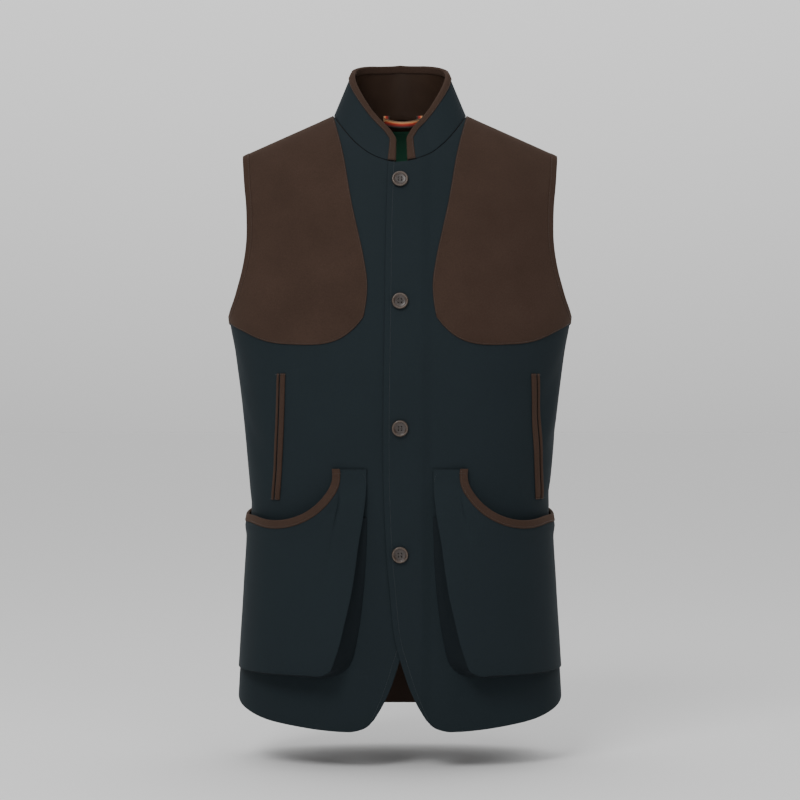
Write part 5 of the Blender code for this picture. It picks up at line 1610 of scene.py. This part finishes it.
def add_lip(name, centre, z, width, side):
    """A suede strip up the front, through the same section at each station."""
    points = []
    for k in range(len(z)):
        from_end = min(k, len(z) - 1 - k) / len(z)
        wall = JET_WALL * min(1.0, LIP_END_WALL + LIP_END_EASE * from_end)
        for across_share, wall_share in LIP_SECTION:
            place = np.array(place_at(centre[k] + across_share * width / 2, z[k]))
            points.append(laid(place, LOOSE_GAP + wall * wall_share, side))
    sides = len(LIP_SECTION)
    around = running_length(points[:sides])
    chart = [(across_length, height - z[-1]) for height in z for across_length in around]
    piece = add_piece(name, points, tube_faces(len(z), sides), chart, SUEDE)
    close_outward(piece)
    return piece


share = np.linspace(0, 1, LIP_STATIONS)
slits = {}
for name, side in SIDES:
    top, bottom, bow = JET_LINES[name]
    jet_x = top[0] + (bottom[0] - top[0]) * share - bow * np.sin(math.pi * share)
    jet_z = top[1] + (bottom[1] - top[1]) * share
    slits[name] = (jet_x, jet_z)
    lips = (
        ("outer", jet_x + (JET_SLIT + JET_OUTER_WIDTH) / 2, JET_OUTER_WIDTH),
        ("inner", jet_x - (JET_SLIT + JET_INNER_WIDTH) / 2, JET_INNER_WIDTH),
    )
    for lip, centre, width in lips:
        made = add_lip("hand_pocket_" + lip + "_lip_" + name, centre, jet_z, width, side)
        ride_and_replace(made)
print("lip triangles", triangles(made.data))

# %% [markdown]
# ## Buttons
#
# Four-hole buttons turned from brown buffalo horn: a rounded rim, a dished face and a flat back,
# polished. Horn is streaked, and its rim is painted paler, as painted light shining through the
# thin rim. A turned part is a profile spun round its axis, and the holes are cut through
# afterwards.

# %% Polished horn
STREAK_SCALE = (180.0, 180.0, 900.0)
STREAK_TURN = (0.0, 0.4, 0.0)
# Share of the button's radius, and the colour there. The paler stops on the rim are painted light
HORN_RINGS_PAINTED_RIM_LIGHT = (
    (0.0, "#221812"), (0.62, "#2b1f18"), (0.74, "#3b2c23"), (0.90, "#4a3b2f"), (1.0, "#2e231b"),
)


def polished_horn():
    finish, tree, shader = new_finish(
        "polished_buffalo_horn", Roughness=0.42, IOR=1.54, Coat_Weight=0.10, Coat_Roughness=0.18
    )
    radius = add_node(tree, "ShaderNodeSeparateXYZ", {"Vector": cut_chart(tree)}).outputs[0]
    rings = colour_ramp(tree, radius, HORN_RINGS_PAINTED_RIM_LIGHT)
    inputs = {"Vector": object_place(tree), "Scale": STREAK_SCALE, "Rotation": STREAK_TURN}
    stretched = add_node(tree, "ShaderNodeMapping", inputs).outputs[0]
    streaks = noise(tree, stretched, scale=1.0, detail=3.0, distortion=0.8)
    paint(tree, shader, rings, ranged(tree, streaks, low=0.72, high=1.15, start=0.3, stop=0.7))
    return finish


HORN = polished_horn()
print("made", HORN.name)

# %% A button, drilled and set on the front
BUTTON_HEIGHTS = (-0.0885, -0.2415, -0.3975, -0.5535)
BUTTON_RADIUS = 0.0102
BUTTON_THICKNESS = 0.0034
HOLE_RADIUS = 0.0010
HOLE_SPACING = 0.0019
BUTTON_SEGMENTS = 64
HOLE_SEGMENTS = 16
SHARPEST_SMOOTH = math.radians(40)
# Share of the radius and share of the thickness, from the back's middle round to the face's
BUTTON_PROFILE = (
    (0.00, 0.00), (0.55, 0.00), (0.80, 0.02), (0.92, 0.18), (0.985, 0.42), (1.00, 0.62),
    (0.985, 0.80), (0.94, 0.94), (0.88, 1.00), (0.81, 0.985), (0.75, 0.88), (0.71, 0.74),
    (0.66, 0.66), (0.45, 0.61), (0.22, 0.60), (0.00, 0.60),
)


def button_blank():
    """The spun button before drilling."""
    points = [(0.0, 0.0, 0.0)]
    chart = [(0.0, 0.0)]
    inner = BUTTON_PROFILE[1:-1]
    for radius, level in inner:
        for k in range(BUTTON_SEGMENTS):
            angle = 2 * math.pi * k / BUTTON_SEGMENTS
            r = radius * BUTTON_RADIUS
            points.append((r * math.cos(angle), r * math.sin(angle), level * BUTTON_THICKNESS))
            chart.append((radius if level > 0.5 else 0.5, k / BUTTON_SEGMENTS))
    points.append((0.0, 0.0, BUTTON_PROFILE[-1][1] * BUTTON_THICKNESS))
    chart.append((0.0, 0.0))
    last = len(points) - 1
    faces = []
    for k in range(BUTTON_SEGMENTS):
        turn = (k + 1) % BUTTON_SEGMENTS
        faces.append((0, 1 + turn, 1 + k))
        for ring in range(len(inner) - 1):
            low = 1 + ring * BUTTON_SEGMENTS
            high = low + BUTTON_SEGMENTS
            faces.append((low + k, low + turn, high + turn, high + k))
        top = 1 + (len(inner) - 1) * BUTTON_SEGMENTS
        faces.append((top + k, top + turn, last))
    piece = add_piece("button_blank", points, faces, chart, HORN)
    close_outward(piece)
    return piece


def drilled(blank):
    """The blank's mesh with four holes through it."""
    shape = bmesh.new()
    for x in (-HOLE_SPACING, HOLE_SPACING):
        for y in (-HOLE_SPACING, HOLE_SPACING):
            bmesh.ops.create_cone(
                shape, cap_ends=True, segments=HOLE_SEGMENTS, radius1=HOLE_RADIUS,
                radius2=HOLE_RADIUS, depth=BUTTON_THICKNESS * 3,
                matrix=Matrix.Translation((x, y, BUTTON_THICKNESS / 2)),
            )
    drill_mesh = bpy.data.meshes.new("drill")
    shape.to_mesh(drill_mesh)
    shape.free()
    drill = add_object("drill", drill_mesh)
    holes = blank.modifiers.new("holes", "BOOLEAN")
    holes.operation = "DIFFERENCE"
    holes.object = drill
    mesh = as_shown(blank)
    bpy.data.objects.remove(blank, do_unlink=True)
    bpy.data.objects.remove(drill, do_unlink=True)
    mesh.set_sharp_from_angle(angle=SHARPEST_SMOOTH)
    return mesh


BUTTON_MESH = drilled(button_blank())
button_frames = []
for number, height in enumerate(BUTTON_HEIGHTS, 1):
    place = np.array([0.0, height])
    turn = Vector(outward(place)).to_track_quat("Z", "Y").to_matrix().to_4x4()
    button_frame = Matrix.Translation(Vector(laid(place, LAP_RISE + LOOSE_GAP, 1))) @ turn
    mesh = BUTTON_MESH.copy()
    mesh.transform(button_frame)
    mesh.materials.clear()
    mesh.materials.append(HORN)
    ride_and_replace(add_object("sewn_button_" + str(number), mesh))
    button_frames.append(button_frame)
print("button triangles", triangles(BUTTON_MESH))

# %% [markdown]
# ## Label and hanger loop
#
# A woven green label is sewn to the lining at the centre back of the neck, and is left bare. The
# hanger is a short striped tape. Its two ends are stitched down over the neck seam, and between
# them it bows off the lining, so that a hook fits behind it.

# %% Label cloth and striped tape
LABEL_HALF_WIDTH = 0.034
LABEL_LOW_Z = -0.058
LABEL_HIGH_Z = -0.010
LABEL_WALL = 0.0010
LABEL_COLUMNS = 25
LABEL_ROWS = 17
LABEL_RIB = 0.0009
LABEL_PICK = 0.0006
LABEL_GREEN = linear("#084a32")[:3]
TAPE_RIB = 0.0008
# Share of the tape's width from its lower edge, and the colour of the stripe that starts there
TAPE_STRIPES = (
    (0.0, "#1e3028"), (0.12, "#6a2522"), (0.34, "#b02c1e"), (0.56, "#ee6e3e"), (0.70, "#dba36e"),
    (0.90, "#7a5c42"),
)


def woven_label():
    finish, tree, shader = new_finish("green_woven_label", Roughness=0.7, Sheen_Weight=0.15)
    height = woven_height(tree, cut_chart(tree), LABEL_RIB, LABEL_PICK)
    paint(tree, shader, LABEL_GREEN, ranged(tree, height, low=0.8, high=1.1))
    return finish


def striped_tape():
    finish, tree, shader = new_finish("striped_cotton_tape", Roughness=0.7, Sheen_Weight=0.15)
    split = add_node(tree, "ShaderNodeSeparateXYZ", {"Vector": cut_chart(tree)})
    stripes = colour_ramp(tree, split.outputs[1], TAPE_STRIPES, "CONSTANT")
    ribs = math_of(tree, "MULTIPLY", split.outputs[0], 2 * math.pi / TAPE_RIB)
    shaded = ranged(tree, math_of(tree, "SINE", ribs), low=0.85, high=1.05, start=-1.0)
    paint(tree, shader, stripes, shaded)
    return finish


LABEL_CLOTH = woven_label()
TAPE = striped_tape()
print("made", LABEL_CLOTH.name, TAPE.name)

# %% The label on the lining
def on_lining(x, z, away):
    """The point this far inside the lining at this distance from the centre and height."""
    side = 1 if x >= 0 else -1
    return laid(place_at(abs(x), z, back=True), -BACK_WALL - GAP - LINING_WALL - away, side)


def at_lining(x, z, away=0.0):
    """The same at exactly this height, as the lining leans here."""
    sunk = z - on_lining(x, z, away)[2]
    return on_lining(x, z + sunk, away)


def label_face(away):
    label_x = np.linspace(LABEL_HALF_WIDTH, -LABEL_HALF_WIDTH, LABEL_COLUMNS)
    label_z = np.linspace(LABEL_LOW_Z, LABEL_HIGH_Z, LABEL_ROWS)
    return np.array([[at_lining(x, z, away) for x in label_x] for z in label_z])


near, far = label_face(LOOSE_GAP), label_face(LOOSE_GAP + LABEL_WALL)
made = add_sheet("neck_label", near, far, LABEL_CLOTH)
ride_and_replace(made)
print("label triangles", triangles(made.data))

# %% The hanger loop
LOOP_CENTRE_X = 0.004
LOOP_HALF_LENGTH = 0.026
LOOP_LOW_Z = -0.0072
LOOP_HIGH_Z = 0.0014
LOOP_END_RISE = 0.0046
LOOP_END_STAND = 0.0020
LOOP_TOP_STAND = 0.0085
LOOP_BOTTOM_STAND = 0.0158
LOOP_WALL = 0.0010
LOOP_STEPS = 48
TAPE_ROWS = 5
TAPE_WIDTH = 0.0100


def tape_strip(low, high):
    """Outer and inner grids of a tape between a low and a high line of points."""
    share = np.linspace(0, 1, TAPE_ROWS)[:, None, None]
    outer = low[None] + (high - low)[None] * share
    up = unit(high - low)
    back = np.stack([0 * up[:, 0], -up[:, 2], up[:, 1]], axis=-1) * LOOP_WALL
    return outer, outer + back[None]


def tape_chart(outer):
    """The chart of a tape: its length in metres, and its width as a share."""
    chart = flat_chart(outer)
    chart[..., 1] = np.linspace(0, 1, len(outer))[:, None]
    return chart


def loop_line(z, top_stand):
    """Points of one edge of the loop, which rises at its ends and bows off the lining between."""
    line = []
    for share in np.linspace(-1, 1, LOOP_STEPS + 1):
        bow = 1 - share**2
        point = at_lining(LOOP_CENTRE_X + share * LOOP_HALF_LENGTH, z + LOOP_END_RISE * (1 - bow))
        point[1] -= LOOP_END_STAND + (top_stand - LOOP_END_STAND) * bow
        line.append(point)
    return np.array(line)


low_line = loop_line(LOOP_LOW_Z, LOOP_BOTTOM_STAND)
high_line = loop_line(LOOP_HIGH_Z, LOOP_TOP_STAND)
outer, inner = tape_strip(low_line, high_line)
loop_chart = tape_chart(outer)
made = add_sheet("hanger_loop", outer, inner, TAPE, chart=loop_chart)
close_outward(made)
ride_and_replace(made)
print("loop length", round(float(loop_chart[0, -1, 0]), 4))

# %% The hanger's two ends, stitched down over the seam
TAB_WIDTH = 0.0085
TAB_CENTRE = 0.0217
TAB_LOW_Z = -0.0032
TAB_HIGH_Z = 0.0082
TAB_STAND = 0.0004
TAB_COLUMNS = 5
TAB_ROWS = 9
FACING_SEEN = 0.02
LINING_SAMPLES = 4
SEAM_MARGIN = 0.002
facing_inside = felled(coarse_collar, facing_top, facing_low)[1]


def inside_neck(x, z):
    """How far back the inside of the neck lies: the lining below its seam, the facing above it."""
    behind = facing_inside[:, facing_inside[0, :, 1] > FACING_SEEN]
    facing = [[np.interp(-x, -row[:, 0], row[:, k]) for k in (1, 2)] for row in behind]
    lining_z = np.linspace(TAB_LOW_Z, facing[0][1] - SEAM_MARGIN, LINING_SAMPLES)
    lining = [(at_lining(x, low)[1], low) for low in lining_z]
    known = np.array(lining + facing)
    return float(np.interp(z, known[:, 1], known[:, 0]))


tab_z = np.linspace(TAB_LOW_Z, TAB_HIGH_Z, TAB_ROWS)
for name, way in SIDES:
    tab_x = LOOP_CENTRE_X + way * (TAB_CENTRE + TAB_WIDTH * np.linspace(-0.5, 0.5, TAB_COLUMNS))
    outer = np.array([[(x, inside_neck(x, z) - TAB_STAND, z) for x in tab_x] for z in tab_z])
    outer = np.moveaxis(outer, 0, 1)
    inner = outer - (0.0, LOOP_WALL, 0.0)
    made = add_sheet("hanger_end_" + name, outer, inner, TAPE, chart=tape_chart(outer))
    close_outward(made)
    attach(made, "root")
    pieces["hanger_end_" + name] = made
print("hanger end triangles", triangles(made.data))

# %% Threads
def sewing_thread(name, colour):
    return new_finish(name, Roughness=0.6, Base_Color=linear(colour), Sheen_Weight=0.2)[0]


NAVY_THREAD = sewing_thread("navy_polyester_thread", "#1a2226")
BROWN_THREAD = sewing_thread("brown_polyester_thread", "#2c211a")
GREEN_THREAD = sewing_thread("green_polyester_thread", "#0d3324")
print("made", NAVY_THREAD.name, BROWN_THREAD.name, GREEN_THREAD.name)

# %% [markdown]
# ## Thread in the buttons
#
# Each button is held by thread that runs up through one hole and down through the next. Two
# bundles lie side by side, of three strands each. A strand is a thin tube along a bowed path.

# %% Strands through the holes
STRAND_RADIUS = 0.00021
STRAND_SIDES = 6
STRAND_SPREAD = 0.00042
HOLE_LEVEL = 0.60 * BUTTON_THICKNESS
# A strand's path up one hole and down the other: share of the hole's distance, and height
STRAND_PATH = (
    (-1.02, -0.0011), (-0.98, -0.0002), (-0.80, 0.0003), (-0.30, 0.0006),
    (0.30, 0.0006), (0.80, 0.0003), (0.98, -0.0002), (1.02, -0.0011),
)


def strand(x):
    """Points round a strand's path, as rings."""
    path = [(x, share * HOLE_SPACING, HOLE_LEVEL + height) for share, height in STRAND_PATH]
    path = np.array(path)
    sideways = np.array([1.0, 0.0, 0.0])
    lift = np.cross(sideways, unit(np.gradient(path, axis=0)))
    rings = []
    for k in range(STRAND_SIDES):
        angle = 2 * math.pi * k / STRAND_SIDES
        rings.append(path + STRAND_RADIUS * (sideways * math.cos(angle) + lift * math.sin(angle)))
    return np.stack(rings, axis=1)


def add_strands(name, button_frame):
    points = []
    faces = []
    for hole in (-HOLE_SPACING, HOLE_SPACING):
        for spread in (-STRAND_SPREAD, 0.0, STRAND_SPREAD):
            faces += tube_faces(len(STRAND_PATH), STRAND_SIDES, first=len(points))
            points += strand(hole + spread).reshape(-1, 3).tolist()
    made = add_piece(name, points, faces, np.zeros((len(points), 2)), BROWN_THREAD)
    close_outward(made)
    made.data.transform(button_frame)
    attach(made, "root")
    return made


for number, button_frame in enumerate(button_frames, 1):
    made = add_strands("button_thread_" + str(number), button_frame)
print("strand triangles", triangles(made.data))

# %% [markdown]
# ## Stitches
#
# A machine stitch shows as a short raised length of thread, then a gap where it dives into the
# cloth. Along one seam there are hundreds, all the same, so Geometry Nodes lay them: a line is
# resampled at the stitch's pitch, and one small stitch is set on each point, turned along the
# line and away from the cloth.

# %% The stitch tree
STITCH_SIZES = {"Pitch": 0.0030, "Length": 0.0024, "Thickness": 0.00045}
BEAD_SEGMENTS = 6
BEAD_RINGS = 4


def stitch_tree():
    """A tree that sets stitches along the edges of a mesh, which carry their outward direction."""
    tree = bpy.data.node_groups.new("stitches_along_a_line", "GeometryNodeTree")
    face = tree.interface
    face.new_socket("Geometry", in_out="INPUT", socket_type="NodeSocketGeometry")
    for name, value in STITCH_SIZES.items():
        face.new_socket(name, in_out="INPUT", socket_type="NodeSocketFloat").default_value = value
    face.new_socket("Thread", in_out="INPUT", socket_type="NodeSocketMaterial")
    face.new_socket("Geometry", in_out="OUTPUT", socket_type="NodeSocketGeometry")
    given = tree.nodes.new("NodeGroupInput").outputs
    line = add_node(tree, "GeometryNodeMeshToCurve", {"Mesh": given["Geometry"]})
    inputs = {"Curve": line.outputs[0], "Length": given["Pitch"]}
    points = add_node(tree, "GeometryNodeResampleCurve", inputs, mode="LENGTH")
    tangent = tree.nodes.new("GeometryNodeInputTangent")
    inputs = {"Name": "away"}
    away = add_node(tree, "GeometryNodeInputNamedAttribute", inputs, data_type="FLOAT_VECTOR")
    inputs = {"Primary Axis": tangent.outputs[0], "Secondary Axis": away.outputs[0]}
    turn = add_node(
        tree, "FunctionNodeAxesToRotation", inputs, primary_axis="X", secondary_axis="Z"
    )
    inputs = {"Segments": BEAD_SEGMENTS, "Rings": BEAD_RINGS, "Radius": 0.5}
    bead = add_node(tree, "GeometryNodeMeshUVSphere", inputs)
    inputs = {"X": given["Length"], "Y": given["Thickness"], "Z": given["Thickness"]}
    size = add_node(tree, "ShaderNodeCombineXYZ", inputs)
    inputs = {
        "Points": points.outputs[0], "Instance": bead.outputs[0],
        "Rotation": turn.outputs[0], "Scale": size.outputs[0],
    }
    placed = add_node(tree, "GeometryNodeInstanceOnPoints", inputs)
    real = add_node(tree, "GeometryNodeRealizeInstances", {"Geometry": placed.outputs[0]})
    smooth = add_node(tree, "GeometryNodeSetShadeSmooth", {"Geometry": real.outputs[0]})
    inputs = {"Geometry": smooth.outputs[0], "Material": given["Thread"]}
    threaded = add_node(tree, "GeometryNodeSetMaterial", inputs)
    result = tree.nodes.new("NodeGroupOutput")
    tree.links.new(threaded.outputs[0], result.inputs[0])
    return tree


STITCHES = stitch_tree()


def sew(name, lines, thread, closed=False):
    """Stitches along lines of points with outward directions, as one plain mesh."""
    points = []
    ways = []
    edges = []
    for line, away in lines:
        first = len(points)
        points += [tuple(point) for point in line]
        ways += [tuple(way) for way in away]
        edges += [(first + k, first + k + 1) for k in range(len(line) - 1)]
        if closed:
            edges.append((first + len(line) - 1, first))
    mesh = bpy.data.meshes.new(name + "_line")
    mesh.from_pydata(points, edges, [])
    attribute = mesh.attributes.new("away", "FLOAT_VECTOR", "POINT")
    attribute.data.foreach_set("vector", np.array(ways, dtype=np.float32).ravel())
    guide = add_object(name + "_line", mesh)
    modifier = guide.modifiers.new("stitches", "NODES")
    modifier.node_group = STITCHES
    sockets = {item.name: item.identifier for item in STITCHES.interface.items_tree}
    for label, value in dict(STITCH_SIZES, Thread=thread).items():
        modifier[sockets[label]] = value
    sewn = as_shown(guide)
    sewn.name = name
    bpy.data.objects.remove(guide, do_unlink=True)
    made = add_object(name, sewn)
    close_outward(made)
    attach(made, "root")
    print(name, "triangles", triangles(sewn))

# %% Seam lines on the cloth
EDGE_STITCH_INSET = 0.0075
EDGE_STITCH_COLUMN = 4
PATCH_STITCH_INSET = 0.0018
PATCH_STITCH_COLUMN = 2


def inset_line(edge, inward, inset):
    """Places this far in from an edge towards another line, by real length."""
    lines = []
    for start, towards in zip(edge, inward):
        span = np.linalg.norm(form(towards) - form(start))
        lines.append(start + (towards - start) * inset / span)
    return np.array(lines)


def cloth_line(places, offset, side):
    return laid(places, offset, side), facing_out(places, side)


front_edge_lines = []
patch_lines = []
edge = inset_line(FRONT[:, 0], FRONT[:, EDGE_STITCH_COLUMN], EDGE_STITCH_INSET)
patch_edge = inset_line(PATCH[:, 0], PATCH[:, PATCH_STITCH_COLUMN], PATCH_STITCH_INSET)
patch_bottom = inset_line(PATCH[0], PATCH[1], PATCH_STITCH_INSET)
for name, side in SIDES:
    rise = lap_rise(form(edge)[:, 0]) if side > 0 else 0.0
    front_edge_lines.append(cloth_line(edge, rise, side))
    for line in (patch_edge, patch_bottom):
        patch_lines.append(cloth_line(line[1:], GAP + PATCH_WALL, side))
sew("front_edge_stitches", front_edge_lines, NAVY_THREAD)
sew("patch_stitches", patch_lines, BROWN_THREAD)
sew("armhole_stitches", armhole_lines, BROWN_THREAD, closed=True)
sew("collar_stitches", [collar_line], BROWN_THREAD)
sew("pocket_mouth_stitches", mouth_lines, BROWN_THREAD)

# %% Corners, bar tacks and the label
# Distance from the centre and height: where each pocket's top corner is sewn flat to the front
CORNER_LINE = (
    (0.0745, -0.4502), (0.0600, -0.4519), (0.0462, -0.4539), (0.0432, -0.4570), (0.0425, -0.4630),
)
MOUTH_TACK = ((0.0725, -0.4531), (0.0770, -0.4533), (0.0815, -0.4535))
LINE_STEPS = 12
TACK_REACH = 0.0075
TACK_SPOTS = (-1.0, -1 / 3, 0.5)
LABEL_STITCH_INSET = 0.0015
TACK_OUT = 0.0012


def drawn_line(spots, offset, side):
    """A line on the cloth through spots given as distance from the centre and height."""
    dense = finer_line(np.array(spots), LINE_STEPS)
    places = np.stack([girth_at(dense[:, 0], dense[:, 1]), dense[:, 1]], axis=-1)
    return cloth_line(places, offset, side)


corner_lines = []
tack_lines = []
for name, side in SIDES:
    corner_lines.append(drawn_line(CORNER_LINE, LOOSE_GAP + POCKET_WALL, side))
    on_binding = LOOSE_GAP + POCKET_WALL + POCKET_BINDING_ROOM + GAP + BINDING_WALL
    tack_lines.append(drawn_line(MOUTH_TACK, on_binding, side))
    jet_x, jet_z = slits[name]
    for k, way in ((0, -1), (-1, 1)):
        z = jet_z[k] + way * TACK_OUT
        across_slit = [(jet_x[k] + TACK_REACH * reach, z) for reach in TACK_SPOTS]
        tack_lines.append(drawn_line(across_slit, LOOSE_GAP + JET_WALL, side))
sew("pocket_corner_stitches", corner_lines, NAVY_THREAD)
sew("bar_tacks", tack_lines, BROWN_THREAD)

x = LABEL_HALF_WIDTH - LABEL_STITCH_INSET
low_z = LABEL_LOW_Z + LABEL_STITCH_INSET
high_z = LABEL_HIGH_Z - LABEL_STITCH_INSET
label_edge = ((-x, low_z), (x, low_z), (x, high_z), (-x, high_z), (-x, low_z))
sides = zip(label_edge, label_edge[1:])
label_spots = np.concatenate([straight(start, stop, LINE_STEPS) for start, stop in sides])
label_line = [at_lining(*spot, LOOSE_GAP + LABEL_WALL) for spot in label_spots]
sew("label_stitches", [(label_line, [(0.0, -1.0, 0.0)] * len(label_line))], GREEN_THREAD)

# %% [markdown]
# ## What each cloth piece was cut to
#
# The flat size of every piece of cloth is printed, so that a maker knows what to cut. A grid
# knows its own lengths: its longest row and column give the flat rectangle, and the sum of its
# cells gives the area.

def cut_size(piece):
    """The flat width, length and area of a cloth piece, from its chart and its mesh."""
    mesh = piece.data
    spots = np.empty(len(mesh.loops) * 2, dtype=np.float32)
    mesh.uv_layers["cut"].data.foreach_get("uv", spots)
    spots = spots.reshape(-1, 2)
    width, length = (float(v) for v in spots.max(axis=0) - spots.min(axis=0))
    area = sum(face.area for face in mesh.polygons) / 2
    return width, length, area


# The narrowest flat side that a piece is given
LEAST_SIDE = 0.0100
# By the first word of a piece's name
for name, piece in pieces.items():
    if name.startswith("button"):
        continue
    width, length, area = cut_size(piece)
    if name.startswith("hanger"):
        length = TAPE_WIDTH
    width = max(width, LEAST_SIDE)
    share = area / (width * length)
    print(name, "flat", round(width, 4), "by", round(length, 4), "share", round(share, 3))

# %% [markdown]
# ## Floor and light
#
# The gilet hangs over a plain pale floor. Two large soft lamps stand in front of it and above it,
# the left one three times as strong, so pockets and edges shade the cloth beside them and the hem
# falls darker. The studio behind and above is bright, and the side of the camera is dim.

# %% Floor
FLOOR_DROP = 0.047
FLOOR_HALF_SIZE = 30.0
floor_z = min(corner[2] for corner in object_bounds()) - FLOOR_DROP
floor_mesh = bpy.data.meshes.new("floor")
ways = ((-1, -1), (1, -1), (1, 1), (-1, 1))
corners = [(x * FLOOR_HALF_SIZE, y * FLOOR_HALF_SIZE, floor_z) for x, y in ways]
floor_mesh.from_pydata(corners, [], [(0, 1, 2, 3)])
floor_finish = new_finish("pale_painted_floor", Roughness=0.9, Base_Color=linear("#e9e9e9"))[0]
floor_mesh.materials.append(floor_finish)
floor = add_object("floor", floor_mesh)
floor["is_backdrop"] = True
print("floor at", round(floor_z, 4))

# %% Lights
LAMPS = (
    ("key_above_left", (-1.1, -2.6, 2.1), 1.4, 70.0),
    ("key_above_right", (1.3, -2.6, 1.7), 1.4, 16.0),
    ("fill_front", (-0.5, -3.0, -0.1), 1.4, 11.0),
)
AIM = Vector((0.0, 0.0, -0.30))
for name, spot, size, power in LAMPS:
    lamp = bpy.data.lights.new(name, "AREA")
    lamp.size = size
    lamp.energy = power
    placed = add_object(name, lamp)
    placed.location = spot
    placed.rotation_euler = (AIM - Vector(spot)).to_track_quat("-Z", "Y").to_euler()
print("lamps", len(LAMPS))

# %% The studio round it, bright above and behind and dim in front
SKY_WAY = (0.0, 0.55, 0.83)
DIM_SKY = 0.12
BRIGHT_SKY = 1.4
DIM_UP_TO = 0.2
BRIGHT_FROM = 0.9
world = bpy.data.worlds.new("pale_studio")
world.use_nodes = True
sky = world.node_tree.nodes["Background"]
way = add_node(world.node_tree, "ShaderNodeTexCoord").outputs["Generated"]
inputs = {0: way, 1: SKY_WAY}
towards = add_node(world.node_tree, "ShaderNodeVectorMath", inputs, operation="DOT_PRODUCT")
inputs = {
    "Value": towards.outputs["Value"], "From Min": DIM_UP_TO, "From Max": BRIGHT_FROM,
    "To Min": DIM_SKY, "To Max": BRIGHT_SKY,
}
strength = add_node(
    world.node_tree, "ShaderNodeMapRange", inputs, interpolation_type="SMOOTHSTEP"
)
sky.inputs["Color"].default_value = linear("#ffffff")
world.node_tree.links.new(strength.outputs[0], sky.inputs["Strength"])
bpy.context.scene.world = world
print("sky from", DIM_SKY, "to", BRIGHT_SKY)
